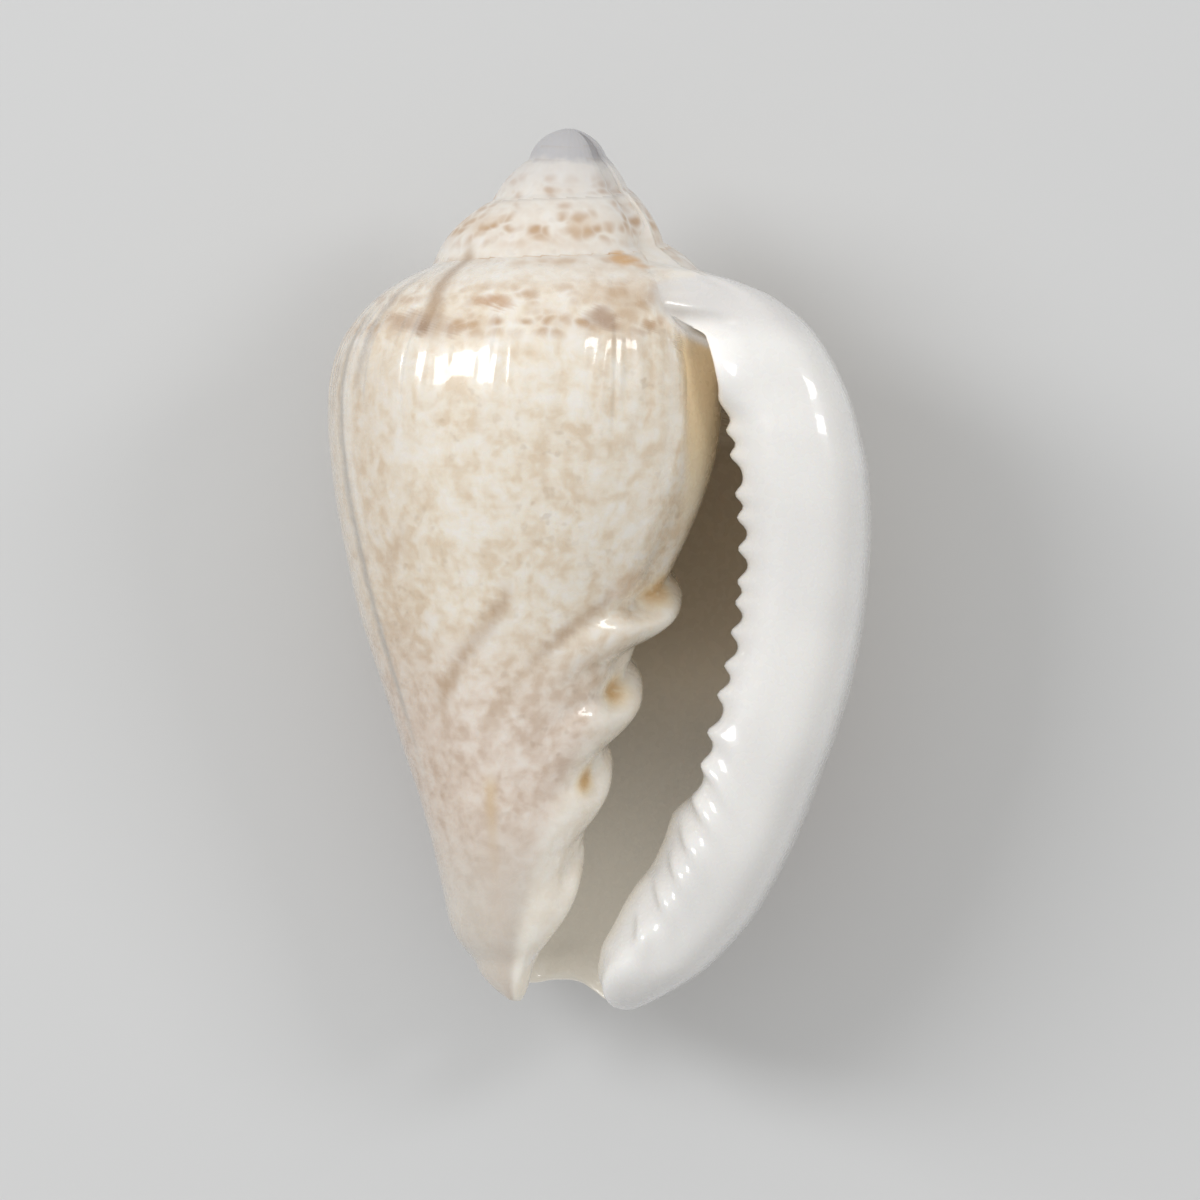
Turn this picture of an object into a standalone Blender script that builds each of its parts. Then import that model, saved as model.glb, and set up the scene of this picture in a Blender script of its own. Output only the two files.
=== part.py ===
# A marginella shell: one piece, grown whole. The skin is a single closed surface that runs
# round the outside of the last whorl, in through the mouth along the column with its four folds,
# round the deep end and back inside the wall to the toothed lip. It lies on its back, mouth up.
import math

import bmesh
import bpy
import numpy as np

# ---------------------------------------------------------------- sizes (mm)
# The shell hangs from its apex: h runs down the coiling axis, x to the lip,
# z out of the mouth. An angle a starts at the lip side (+x) and goes round the
# back (90), the left (180) and the front (270): it follows the whorl back in age.
LEFT_R = [(0.0, 0.05), (4.4, 0.4), (5.6, 2.6), (6.57, 5.6), (8.1, 8.05), (9.3, 9.05), (10.4, 9.65),
          (11.5, 9.95), (12.6, 10.05), (13.7, 10.0), (15.9, 9.7), (18.0, 9.25), (20.1, 8.67), (22.3, 8.0),
          (24.4, 7.2), (26.5, 6.35), (28.7, 5.48), (30.8, 4.63), (32.9, 3.91), (35.1, 3.26),
          (36.2, 2.95), (37.0, 2.55), (37.4, 2.2), (37.9, 1.72), (38.5, 1.42), (39.0, 1.15), (39.7, 0.75)]
WALL_R = [(0.0, 0.05), (4.4, 0.4), (5.6, 3.0), (6.57, 6.2), (7.2, 8.2), (8.2, 9.9), (9.2, 11.0),
          (10.4, 12.0), (12.0, 13.0), (14.0, 13.7), (16.5, 14.05), (19.0, 14.15), (22.0, 14.0),
          (25.0, 13.5), (28.5, 12.5), (32.0, 11.3), (35.0, 9.9), (37.5, 7.9), (39.7, 5.8)]
MOUTH_R = [(0.0, 0.05), (4.4, 0.4), (5.6, 3.1), (6.57, 4.95), (7.3, 6.05), (8.0, 6.7), (9.0, 7.2),
           (10.5, 7.58), (12.5, 7.7), (13.6, 7.65), (15.3, 7.36), (17.5, 6.72), (19.7, 5.86), (21.7, 4.98),
           (23.8, 4.3), (27.7, 3.5), (31.8, 2.72), (34.3, 2.03), (36.9, 1.25), (38.1, 0.8), (39.7, 0.6)]
BACK_FLAT = [(6.0, 0.03), (9.0, 0.105), (13.0, 0.155), (18.0, 0.145), (24.0, 0.10), (32.0, 0.04),
             (39.7, 0.0)]                # the back is a little flat, so the shell lies steady on it
BACK_A, BACK_SPAN = 86.0, 42.0
SHOULDER = [(8.5, 0.0), (11.0, 0.06), (16.0, 0.07), (20.0, 0.045), (24.0, 0.03), (32.0, 0.01), (36.0, 0.0)]
SHOULDER_A, SHOULDER_SPAN = 327.0, 19.0  # beside the mouth the body turns in over a soft shoulder
SUTURE_H = [(-45, 5.9), (0, 6.25), (45, 6.62), (90, 6.82), (135, 6.8), (180, 6.57), (270, 5.85),
            (360, 5.03), (450, 4.3), (540, 3.67), (630, 3.15), (720, 2.68), (810, 2.12),
            (900, 1.6), (1080, 1.2), (1260, 0.9), (1440, 0.6)]
SUTURE_R = [(360, 4.95), (450, 4.25), (540, 3.62), (630, 3.3), (720, 3.0), (810, 2.45), (900, 1.88),
            (1080, 1.75), (1260, 1.2), (1440, 0.7)]
WHORL_OUT = [(360, 2.55), (540, 2.6), (720, 2.75), (900, 2.0), (1080, 1.75), (1440, 0.8)]
WHORL_RISE = [(360, 1.2), (540, 1.8), (720, 2.5), (900, 1.5), (1080, 1.6), (1440, 1.4)]
SPIRE_LEAN = 0.16          # the first whorls stand a little to the lip side
DOME_R, DOME_H, DOME_POWER = 1.8, 1.7, 0.56
LIP_OUT_X = [(5.6, 6.2), (6.0, 6.5), (6.2, 7.04), (6.4, 7.95), (6.62, 8.68), (6.85, 9.37), (7.1, 9.9),
             (8.0, 11.2), (9.04, 12.15), (10.1, 12.85), (11.1, 13.4), (12.2, 13.85), (13.3, 14.2),
             (14.3, 14.5), (15.4, 14.67), (16.5, 14.79), (18.1, 14.88), (19.8, 14.86), (22.0, 14.73),
             (24.1, 14.45), (26.3, 13.96), (28.6, 13.28), (30.8, 12.61), (33.0, 11.75), (35.3, 10.6),
             (36.4, 9.8), (37.6, 8.75), (38.75, 7.5), (39.8, 6.4)]
LIP_IN_X = [(5.6, 4.9), (7.0, 6.0), (8.5, 6.55), (9.0, 6.8), (9.4, 6.97), (10.05, 7.2), (11.2, 7.55),
            (11.7, 7.8), (12.4, 8.3), (13.3, 8.5), (15.0, 8.85), (17.1, 9.22), (20.0, 9.42),
            (22.3, 9.27), (25.2, 8.83), (28.4, 8.15), (31.6, 7.45), (34.1, 6.45), (35.7, 5.7),
            (37.0, 4.75), (38.5, 3.9), (39.8, 3.3)]
# height of the lip's inner edge, as a share of LIP_TOP_Z
EDGE_Z = [(8.5, 0.95), (10.0, 0.95), (11.2, 0.92), (13.0, 0.80), (15.0, 0.78), (39.8, 0.78)]
# height of the lip's broad crest, against the same
CREST_Z = [(8.5, 0.985), (10.8, 0.985), (13.5, 1.04), (39.8, 1.04)]
LIP_FOOT_X = [(27.0, 8.6), (28.4, 8.0), (29.5, 7.3), (30.6, 6.75), (32.0, 6.35), (33.2, 5.85), (34.2, 5.15),
              (35.9, 4.35), (37.1, 3.85), (38.4, 3.75), (39.8, 4.0)]   # where the lip's inner slope ends
LIP_TOP_Z = [(5.6, 4.2), (6.6, 4.42), (7.5, 4.75), (8.5, 5.4), (9.5, 5.85), (10.3, 6.03), (11.0, 6.1),
             (15.0, 6.15), (20.0, 6.1), (26.0, 5.7), (32.0, 4.9), (36.0, 4.0), (39.8, 2.9)]
CALLUS_H, CREASE_H = 7.4, 8.3      # the lip flows onto the body down to here, then leaves it by a crease
# angle of the seam where the lip meets the body: over the callus, then round under the lip's edge
SEAM_A = [(4.2, 335.0), (5.4, 322.0), (6.6, 309.0), (7.5, 309.5), (8.2, 314.0), (8.8, 323.0), (9.3, 337.0),
          (9.9, 349.0), (10.6, 350.0), (39.8, 350.0)]
RIDGE_H, RIDGE_SPAN, RIDGE_OUT = 6.75, 0.55, 0.22    # a low rounded ridge along the top of that callus
LIP_TOP_H, LIP_RISE = 6.05, 0.4         # where the lip starts, and how fast it swells
MOUTH_TOP_H, MOUTH_RISE = 11.9, 2.0      # where the slit of the mouth starts and opens
SHELL_END = [(-40, 39.72), (0, 39.7), (14, 39.62), (25, 39.4), (33, 39.0), (42, 38.68), (52, 38.57),
             (65, 38.62), (80, 38.8), (130, 38.9), (165, 39.1), (200, 39.4), (250, 39.62), (335, 39.62)]
WALL_T = 1.1                             # thickness of the wall
TEETH_H = [12.15, 13.28, 14.36, 16.1, 17.14, 18.54, 20.0, 20.95, 22.3, 23.8, 25.15, 26.85,
           28.36, 30.0, 31.6, 32.8, 34.1, 35.67]
TOOTH_OUT, TOOTH_HALF = 0.52, 0.45       # how far a tooth stands out, and its half width
FIRST_TOOTH = 0.9, 0.68                  # the topmost tooth: its share of the full size, and its half width
# folds of the column: where each starts and ends at the mouth's edge, how far it stands out, its lean
FOLDS = [(19.9, 22.35, 1.12, 0.95), (24.0, 27.0, 0.88, 0.76), (27.8, 30.9, 0.53, 0.8),
         (32.0, 36.1, 0.52, 0.95)]
# how much lower (mm) a fold lies at each angle than at the mouth's edge: it winds up into the shell
FOLD_PATH = [(240, 7.1), (255, 5.7), (270, 4.2), (289, 2.75), (300, 2.15), (317, 1.6), (332, 1.1),
             (343, 0.55), (354, 0.0), (365, -0.3), (420, -2.7), (600, -9.9)]
PIT_DEPTH, PIT_A, PIT_SPAN = 0.3, 324.0, 12.0         # the pit above each fold: share of the fold, place
FOLD_FULL, FULL_A, FULL_SPAN = 0.33, 336.0, 14.0     # each fold is fullest just outside the mouth's edge
AXIS_TILT_DEG = 3.6                     # the coiling axis leans this much from the long side
REST_ROLL_DEG = -0.68                   # how the shell turns to lie balanced on its back
REST_PITCH_DEG = 3.82
WORN_FLAT = 0.00012                     # the back is rubbed flat this deep where it rests (m)
WELD = 0.00002                          # points closer than this are one (m)
BASE_H = 39.0                            # the rows' last height, stretched to SHELL_END at the rim
EDGE_U, TOOTH_U, CREST_U = 11.0, 11.7, 13.7    # places on the lip's section: foot of its edge, teeth, crest


def curve(points, x):
    """A smooth curve through (x, y) points that never swings past them (monotone cubic)."""
    xs = np.array([p[0] for p in points], float)
    ys = np.array([p[1] for p in points], float)
    dx = np.diff(xs)
    s = np.diff(ys) / dx
    m = np.empty_like(ys)
    m[0], m[-1] = s[0], s[-1]
    same = s[:-1] * s[1:] > 0
    w1, w2 = 2 * dx[1:] + dx[:-1], dx[1:] + 2 * dx[:-1]
    with np.errstate(divide="ignore", invalid="ignore"):
        h = (w1 + w2) / (w1 / s[:-1] + w2 / s[1:])
    m[1:-1] = np.where(same, h, 0.0)
    x = np.clip(x, xs[0], xs[-1])
    i = np.clip(np.searchsorted(xs, x, side="right") - 1, 0, len(xs) - 2)
    t = (x - xs[i]) / dx[i]
    t2, t3 = t * t, t * t * t
    return ((2 * t3 - 3 * t2 + 1) * ys[i] + (t3 - 2 * t2 + t) * dx[i] * m[i]
            + (3 * t2 - 2 * t3) * ys[i + 1] + (t3 - t2) * dx[i] * m[i + 1])


def step(x):
    x = np.clip(x, 0.0, 1.0)
    return x * x * (3 - 2 * x)


def over(a, b, soft):
    """The larger of two surfaces, with a small fillet where they cross."""
    return 0.5 * (a + b + np.sqrt((a - b) ** 2 + soft * soft))


def body_r(a, h):
    """Radius of the last whorl: a spiral through its three outlines, its top on the suture."""
    lift = (curve(SUTURE_H, a) - 6.57) * (1 - step((h - 7.0) / 7.0))
    g = h - lift
    left, wall, mouth = (np.log(np.maximum(curve(t, g), 0.05)) for t in (LEFT_R, WALL_R, MOUTH_R))
    q = (a - 180.0) / 180.0
    tilt = 0.5 * (mouth - wall)
    swell = 0.5 * (mouth + wall) - left
    c = np.cos(np.radians(a))
    flat = curve(BACK_FLAT, h) * np.exp(-(((a - BACK_A) / BACK_SPAN) ** 2))
    full = curve(SHOULDER, h) * np.exp(-(((a - SHOULDER_A) / SHOULDER_SPAN) ** 2))
    return np.exp(left + tilt * q + swell * 0.5 * (1 + c) - flat + full)


def whorl_r(a, h):
    """Radius of an older whorl: it leaves its suture steeply and flattens as it goes down."""
    d = h - curve(SUTURE_H, a)
    out, rise = curve(WHORL_OUT, a), curve(WHORL_RISE, a)
    down = np.where(d > 0, 1 - np.exp(-np.maximum(d, 0) / rise), 1.6 * d / rise)
    return curve(SUTURE_R, a) + out * down


def older_r(a, h):
    """The spire under the last whorl, one to three turns back."""
    t = a + 360.0
    s = step((t - 335.0) / 45.0)
    r = (1 - s) * body_r(t, h) + s * whorl_r(t, h)
    r = over(r, whorl_r(t + 360.0, h), 0.07)
    r = over(r, whorl_r(t + 720.0, h), 0.05)
    d = np.clip(h / DOME_H, 0, 1)
    return over(r, DOME_R * np.maximum(1 - (1 - d) ** 2, 1e-9) ** DOME_POWER, 0.04)


def outer_r(a, h):
    """The whole outside: the last whorl where it stands out of the spire."""
    return over(body_r(a, h), older_r(a, h) - 3.0 * np.maximum(h - 8.0, 0), 0.08)


def ridge(h):
    """How far the callus swells along its top."""
    return RIDGE_OUT * np.exp(-(((h - RIDGE_H) / RIDGE_SPAN) ** 2))


def lean(h):
    return SPIRE_LEAN * (1 - step((h - 3.0) / 3.5))


def spread(fixed, at):
    """Weights of a natural cubic curve through points at the places 'fixed'."""
    n = len(fixed)
    k = np.array(fixed, float)
    dx = np.diff(k)
    lhs, rhs = np.eye(n), np.zeros((n, n))
    for i in range(1, n - 1):
        lhs[i, i - 1], lhs[i, i], lhs[i, i + 1] = dx[i - 1] / 6, (dx[i - 1] + dx[i]) / 3, dx[i] / 6
        rhs[i, i - 1], rhs[i, i + 1] = 1 / dx[i - 1], 1 / dx[i]
        rhs[i, i] = -1 / dx[i - 1] - 1 / dx[i]
    second = np.linalg.solve(lhs, rhs)
    at = np.asarray(at, float)
    i = np.clip(np.searchsorted(k, at, side="right") - 1, 0, n - 2)
    hh = dx[i]
    b = (at - k[i]) / hh
    a = 1 - b
    w = np.zeros((len(at), n))
    rows = np.arange(len(at))
    w[rows, i] += a
    w[rows, i + 1] += b
    w += ((a ** 3 - a) * hh ** 2 / 6)[:, None] * second[i]
    w += ((b ** 3 - b) * hh ** 2 / 6)[:, None] * second[i + 1]
    return w


def folds(a, h):
    """How far the four folds of the column stand out at angle a and height h: half waves that
    wind into the mouth, each with a shallow pit in its upper half just outside the mouth's edge."""
    g = h - curve(FOLD_PATH, a)
    total = 0.0
    for start, end, out, lean_up in FOLDS:
        s = np.clip((g - start) / (end - start), 0, 1)
        total = total + out * np.sin(np.pi * s ** lean_up)
        pit = np.exp(-(((a - PIT_A) / PIT_SPAN) ** 2) - (((s - 0.12) / 0.15) ** 2))
        total = total - PIT_DEPTH * out * pit
    return total * step((a - 272.0) / 62.0) * (1 + FOLD_FULL * np.exp(-(((a - FULL_A) / FULL_SPAN) ** 2)))


def teeth(h):
    total = 0.0
    for t in TEETH_H:
        share, half = FIRST_TOOTH if t == TEETH_H[0] else (1.0, TOOTH_HALF)
        total = total + share * np.exp(-(((h - t) / half) ** 2) * 1.3)
    return total


def polar(a, r):
    return r * np.cos(np.radians(a)), -r * np.sin(np.radians(a))


def shell_grid(roll_n, outer_n, col_share, heights):
    """The whole skin as one grid, x, h and z for every row and column. Each row is a closed loop:
    the outside (the lip's roll, then round the spiral), into the mouth along the column, round
    the deep end, back inside the wall, over the toothed edge and the lip's face to its crest."""
    half = roll_n + outer_n
    col_n = int(round(half * col_share))
    in_n = half - col_n
    h0 = np.asarray(heights, float)[:, None]
    rows = len(heights)

    # angles of the outside and of the column
    meet = curve(SEAM_A, h0)
    a_out = np.concatenate([np.broadcast_to(-25.0 + 41.0 * np.arange(roll_n) / roll_n, (rows, roll_n)),
                            16.0 + (meet - 16.0) * np.arange(outer_n + 1) / outer_n], axis=1)
    a_deep = 205.0 - 85.0 * step((h0 - 20.0) / 15.0) - 25.0 * step((h0 - 35.0) / 4.0)
    gap = np.clip((h0 - MOUTH_TOP_H) / MOUTH_RISE, 0, 1)
    gap = step(gap) ** 0.5
    a_col = meet + (a_deep + 360.0 - meet) * (np.arange(1, col_n + 1) / col_n) ** 1.15 * gap

    # the lower rim: every column runs to its own end, and column i shares its end with column -i
    rim = curve(SHELL_END, a_out)
    rim = np.concatenate([rim, rim[:, half - np.arange(1, half)]], axis=1)
    h = h0 + (rim - BASE_H) * step((h0 - 24.0) / (BASE_H - 24.0))
    h_out, h_col = h[:, :half + 1], h[:, half + 1:half + 1 + col_n]

    r_out = outer_r(a_out, h_out) + folds(a_out, h_out) + ridge(h_out) * step((a_out - 297.0) / 12.0)
    xo, zo = polar(a_out, r_out)
    xc, zc = polar(a_col, body_r(a_col, h_col) + folds(a_col, h_col))

    # the inside of the wall and the lip: a smooth section through named points
    hl = h0 + 0.75 * step((h0 - 24.0) / (BASE_H - 24.0))
    lx, ix, tz = curve(LIP_OUT_X, hl), curve(LIP_IN_X, hl), curve(LIP_TOP_Z, hl)
    w, t, d = lx - ix, WALL_T, a_deep
    wall = lambda a: body_r(a + 0 * h0, h0)
    pts = [(0.0, polar(d - 30, wall(d + 330))), (1.0, polar(d - 12, wall(d + 348))),
           (2.0, polar(d + 2, 0.5 * (wall(d + 362) + wall(d + 2) - t))),
           (3.0, polar(d - 10, wall(d - 10) - t))]
    pts += [(4.3 + 1.3 * k, polar(22 + (d - 22) * f, wall(22 + (d - 22) * f) - t))
            for k, f in enumerate((0.8, 0.58, 0.36, 0.16))]
    gx, gz = polar(16.0, wall(16.0))
    low = step((h0 - 27.0) / 3.5)
    fx = curve(LIP_FOOT_X, hl)
    mix = lambda a, b: a + low * (b - a)
    pts += [(9.3, (mix(gx - 1.4 * t, gx + 0.45 * (fx - gx)), mix(gz, 0.7 * gz))),
            (10.3, (mix(ix + 0.50 * w, fx + 0.04 * w), 0.15 * tz)),
            (11.1, (mix(ix + 0.16 * w, fx + 0.35 * (ix - fx)), 0.50 * tz)),
            (TOOTH_U, (ix, curve(EDGE_Z, h0) * tz)), (12.4, (ix + 0.16 * w, 0.98 * tz)),
            (13.3, (ix + 0.43 * w, curve(CREST_Z, h0) * tz)),
            (14.2, (ix + 0.73 * w, (0.5 * curve(CREST_Z, h0) + 0.48) * tz)),
            (15.0, (ix + 0.945 * w, 0.74 * tz)), (15.7, (lx, 0.32 * tz)),
            (16.5, (lx - 0.12, -0.15 * tz)), (17.4, polar(14.0, wall(14.0) + 0.1)),
            (18.3, polar(25.0, wall(25.0))), (19.3, polar(38.0, wall(38.0)))]
    px = np.concatenate([p[1][0] + 0 * h0 for p in pts], axis=1)
    pz = np.concatenate([p[1][1] + 0 * h0 for p in pts], axis=1)
    knots = [p[0] for p in pts]
    u_in = 1.0 + (CREST_U - 1.0) * np.arange(1, in_n) / in_n
    spare = int(round(roll_n * 0.35))
    u_roll = CREST_U + (17.5 - CREST_U) * np.arange(roll_n + spare) / roll_n
    weigh = spread(knots, u_in)
    xi, zi = px @ weigh.T, pz @ weigh.T
    weigh = spread(knots, u_roll)
    xr, zr = px @ weigh.T, pz @ weigh.T

    # the lip's roll runs into the spiral outside without a step
    s = step((np.arange(roll_n + spare) - roll_n * 0.8) / (roll_n * 0.55))
    k = roll_n + spare
    rise = np.clip((h0 - LIP_TOP_H) / LIP_RISE, 0, 1)
    rise = np.sqrt(1 - (1 - rise) ** 2)
    xr, zr = xr + s * (xo[:, :k] - xr), zr + s * (zo[:, :k] - zr)
    xo[:, :k], zo[:, :k] = xo[:, :k] + rise * (xr - xo[:, :k]), zo[:, :k] + rise * (zr - zo[:, :k])

    # above the mouth the inside shrinks into the seam between lip and body
    ai = np.degrees(np.arctan2(-zi, xi))
    ai = np.where(ai < -100, ai + 360, ai)
    ri = np.hypot(xi, zi)
    aj = meet - 360.0
    lift = step((h0 - CREASE_H) / 0.9)                    # the edge leaves the body below the callus
    c = np.where(u_in < TOOTH_U, lift * step((u_in - EDGE_U) / (TOOTH_U - EDGE_U)),
                 lift + (1 - lift) * step((u_in - TOOTH_U) / 1.1))
    c = gap + (1 - gap) * c
    a_new = aj + c * (ai - aj)
    h_in = h[:, half + 1 + col_n:]
    r_new = body_r(a_new + 360.0, h_in) + c * (ri - body_r(ai + 360.0, h_in))
    xi, zi = polar(a_new, r_new)
    face = np.clip((u_in - TOOTH_U) / (CREST_U - TOOTH_U), 0, 1)
    ring = polar(aj + (-25.0 - aj) * face, outer_r(aj + (-25.0 - aj) * face, h_in))
    start = polar(aj, outer_r(aj, h0))
    dx, dz = xo[:, half:half + 1] - start[0], zo[:, half:half + 1] - start[1]
    xi = np.where(face > 0, ring[0] + dx * (1 - face) + rise * (xi - ring[0] - dx * (1 - face)), xi)
    zi = np.where(face > 0, ring[1] + dz * (1 - face) + rise * (zi - ring[1] - dz * (1 - face)), zi)

    # at its top the lip spreads over the body as a smooth callus: one easy curve from the body to the crest
    f = face[None, :]
    seam = np.stack([xo[:, half], zo[:, half]])[:, :, None]
    before = np.stack(polar(meet - 1.0, outer_r(meet - 1.0, h0) + ridge(h0)))
    crest = np.stack([xr[:, :1], zr[:, :1]])
    after = np.stack([xr[:, 1:2], zr[:, 1:2]])
    reach = np.hypot(*(crest - seam))
    aim = lambda v: v / np.maximum(np.hypot(*v), 1e-9) * reach
    hug = step((h0 - 7.8) / 1.0)                        # lower down it keeps to the body before it rises
    leave = (0.3 + 1.6 * hug) * aim(seam - before) + 0.6 * (1 - hug) * (crest - seam)
    easy = ((2 * f ** 3 - 3 * f ** 2 + 1) * seam + (f ** 3 - 2 * f ** 2 + f) * leave
            + (3 * f ** 2 - 2 * f ** 3) * crest + (f ** 3 - f ** 2) * aim(after - crest) * 0.9)
    smooth = (1 - step((h0 - CALLUS_H) / 1.8)) * rise * (face > 0)
    swell = ridge(h0) * step(f / 0.9) * (1 - step((f - 0.7) / 0.3)) * (face > 0)
    xi, zi = xi + smooth * (easy[0] - xi), zi + smooth * (easy[1] - zi) + swell
    shut = (h0 <= MOUTH_TOP_H) & (u_in <= np.where(lift > 0, EDGE_U, TOOTH_U))
    xi = np.where(shut, xo[:, half:half + 1], xi)
    zi = np.where(shut, zo[:, half:half + 1], zi)
    closed = h0 <= MOUTH_TOP_H
    xc = np.where(closed, xo[:, half:half + 1], xc)
    zc = np.where(closed, zo[:, half:half + 1], zc)

    x = np.concatenate([xo, xc, xi], axis=1)
    z = np.concatenate([zo, zc, zi], axis=1)

    # teeth along the inner edge of the lip
    u_all = np.zeros(2 * half)
    u_all[half + 1 + col_n:] = u_in
    low = step((h0 - 25.5) / 4.5)
    on_edge = np.exp(-((u_all - TOOTH_U + 0.15 - 0.5 * low) / (0.38 + 0.42 * low)) ** 2)
    slant = np.clip(x - ix, -0.5, 2.5) * (0.2 + 1.0 * low)
    bite = (TOOTH_OUT - 0.2 * low) * teeth(h - slant) * on_edge * step((h0 - CREASE_H - 1.5) / 1.0)
    bite = bite * np.where(h0 > MOUTH_TOP_H, 1.0, step((u_all - EDGE_U) / 0.6))
    facing = np.radians(80.0) * low * np.clip((u_all - 11.3) / 1.1, 0, 1)
    x = x - bite * np.cos(facing)
    z = z + bite * np.sin(facing)

    # round the lower rim: each column meets its partner on the middle of the wall
    zone = 0.8 + 1.3 * (1 - step((a_out + 5.0) / 45.0)) + 0.4 * step((a_out - 175.0) / 60.0)
    zone = np.concatenate([zone, zone[:, half - np.arange(1, half)]], axis=1)
    s = np.clip((h - (rim - zone)) / zone, 0, 1)
    s = np.where(h0 >= BASE_H - 1e-9, 1.0, s)
    keep = np.sqrt(1 - s * s)
    pair = (-np.arange(2 * half)) % (2 * half)
    mx, mz = 0.5 * (x + x[:, pair]), 0.5 * (z + z[:, pair])
    away = np.minimum(np.arange(2 * half), pair)          # how many columns from the lip's crest
    inner = np.clip(away, int(roll_n * 0.6), half - int(outer_n * 0.2))
    mx, mz = mx[:, inner], mz[:, inner]                   # both ends round off about one point
    x, z = mx + (x - mx) * keep, mz + (z - mz) * keep
    x = x + lean(h)
    return x, h, z


def place(x, h, z):
    """From the axis to the object's frame, in metres: apex to +Y, mouth up."""
    c, s = math.cos(math.radians(AXIS_TILT_DEG)), math.sin(math.radians(AXIS_TILT_DEG))
    return np.stack([x * c - h * s, -(x * s + h * c), z], axis=-1) * 0.001


def skin(x, h, z):
    """Vertices and faces: quads between rows, a fan at the apex."""
    rows, n = x.shape
    points = place(x, h, z).reshape(-1, 3)
    top = place(np.array([[lean(np.array(0.0)) + 0.0]]), np.array([[0.0]]), np.array([[0.0]])).reshape(1, 3)
    i = np.arange(rows - 1)[:, None] * n
    j = np.arange(n)[None, :]
    k = (j + 1) % n
    quads = np.stack([i + j, i + k, i + n + k, i + n + j], axis=-1).reshape(-1, 4)
    fan = np.stack([np.full(n, rows * n), np.roll(np.arange(n), -1), np.arange(n)], axis=-1)
    return np.concatenate([points, top]), quads, fan


def mesh_rows():
    """Heights of the rows: close at the apex, one on each tooth and each gap between teeth."""
    teeth_h = np.array(TEETH_H)
    gaps = 0.5 * (teeth_h[1:] + teeth_h[:-1])
    top = [0.09, 0.36, 0.75, 1.15, 1.5, 1.9, 2.35, 2.8, 3.3, 3.75, 4.3, 4.85, 5.35, 5.8, 6.1, 6.3, 6.5, 6.75,
           7.05, 7.4, 7.8, 8.2, 8.6, 9.0, 9.4, 9.9, 10.5, 11.2]
    end = [36.5, 37.2, 37.8, 38.25, 38.6, 38.85, BASE_H]
    return np.sort(np.concatenate([top, teeth_h, gaps, end]))


def turn(points):
    """Lay the shell down on its back where it balances, lowest point and middle at the origin."""
    a, b = math.radians(REST_ROLL_DEG), math.radians(REST_PITCH_DEG)
    ry = np.array([[math.cos(a), 0, math.sin(a)], [0, 1, 0], [-math.sin(a), 0, math.cos(a)]])
    rx = np.array([[1, 0, 0], [0, math.cos(b), -math.sin(b)], [0, math.sin(b), math.cos(b)]])
    points = points @ (rx @ ry).T
    lo, hi = points.min(axis=0), points.max(axis=0)
    lo[2] += WORN_FLAT
    points[:, 2] = np.maximum(points[:, 2], lo[2])
    return points - np.array([0.5 * (lo[0] + hi[0]), 0.5 * (lo[1] + hi[1]), lo[2]])


def build_shell(group):
    x, h, z = shell_grid(9, 30, 0.4, mesh_rows())
    points, quads, fan = skin(x, h, z)
    points = turn(points)
    mesh = bpy.data.meshes.new("shell")
    mesh.from_pydata(points.tolist(), [], quads.tolist() + fan.tolist())
    bm = bmesh.new()
    bm.from_mesh(mesh)
    bmesh.ops.remove_doubles(bm, verts=bm.verts, dist=WELD)
    bmesh.ops.dissolve_degenerate(bm, edges=bm.edges, dist=WELD)
    bmesh.ops.triangulate(bm, faces=bm.faces, quad_method="SHORT_EDGE")
    bmesh.ops.recalc_face_normals(bm, faces=bm.faces)
    bm.to_mesh(mesh)
    bm.free()
    body = bpy.data.objects.new("shell", mesh)
    group.objects.link(body)
    mat = bpy.data.materials.new("cream_porcelain_shell")
    mat.use_nodes = True
    shader = mat.node_tree.nodes["Principled BSDF"]
    shader.inputs["Base Color"].default_value = (0.80, 0.70, 0.58, 1.0)
    shader.inputs["Roughness"].default_value = 0.22
    mesh.materials.append(mat)
    return body


for old in list(bpy.data.objects):
    bpy.data.objects.remove(old)
group = bpy.data.collections.new("marginella_shell")
bpy.context.scene.collection.children.link(group)
build_shell(group)
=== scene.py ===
# A marginella shell: its glossy skin as one fine surface, its markings, and a plain studio.
import math

import bmesh
import bpy
import numpy as np
from mathutils import Matrix, Vector


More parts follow.
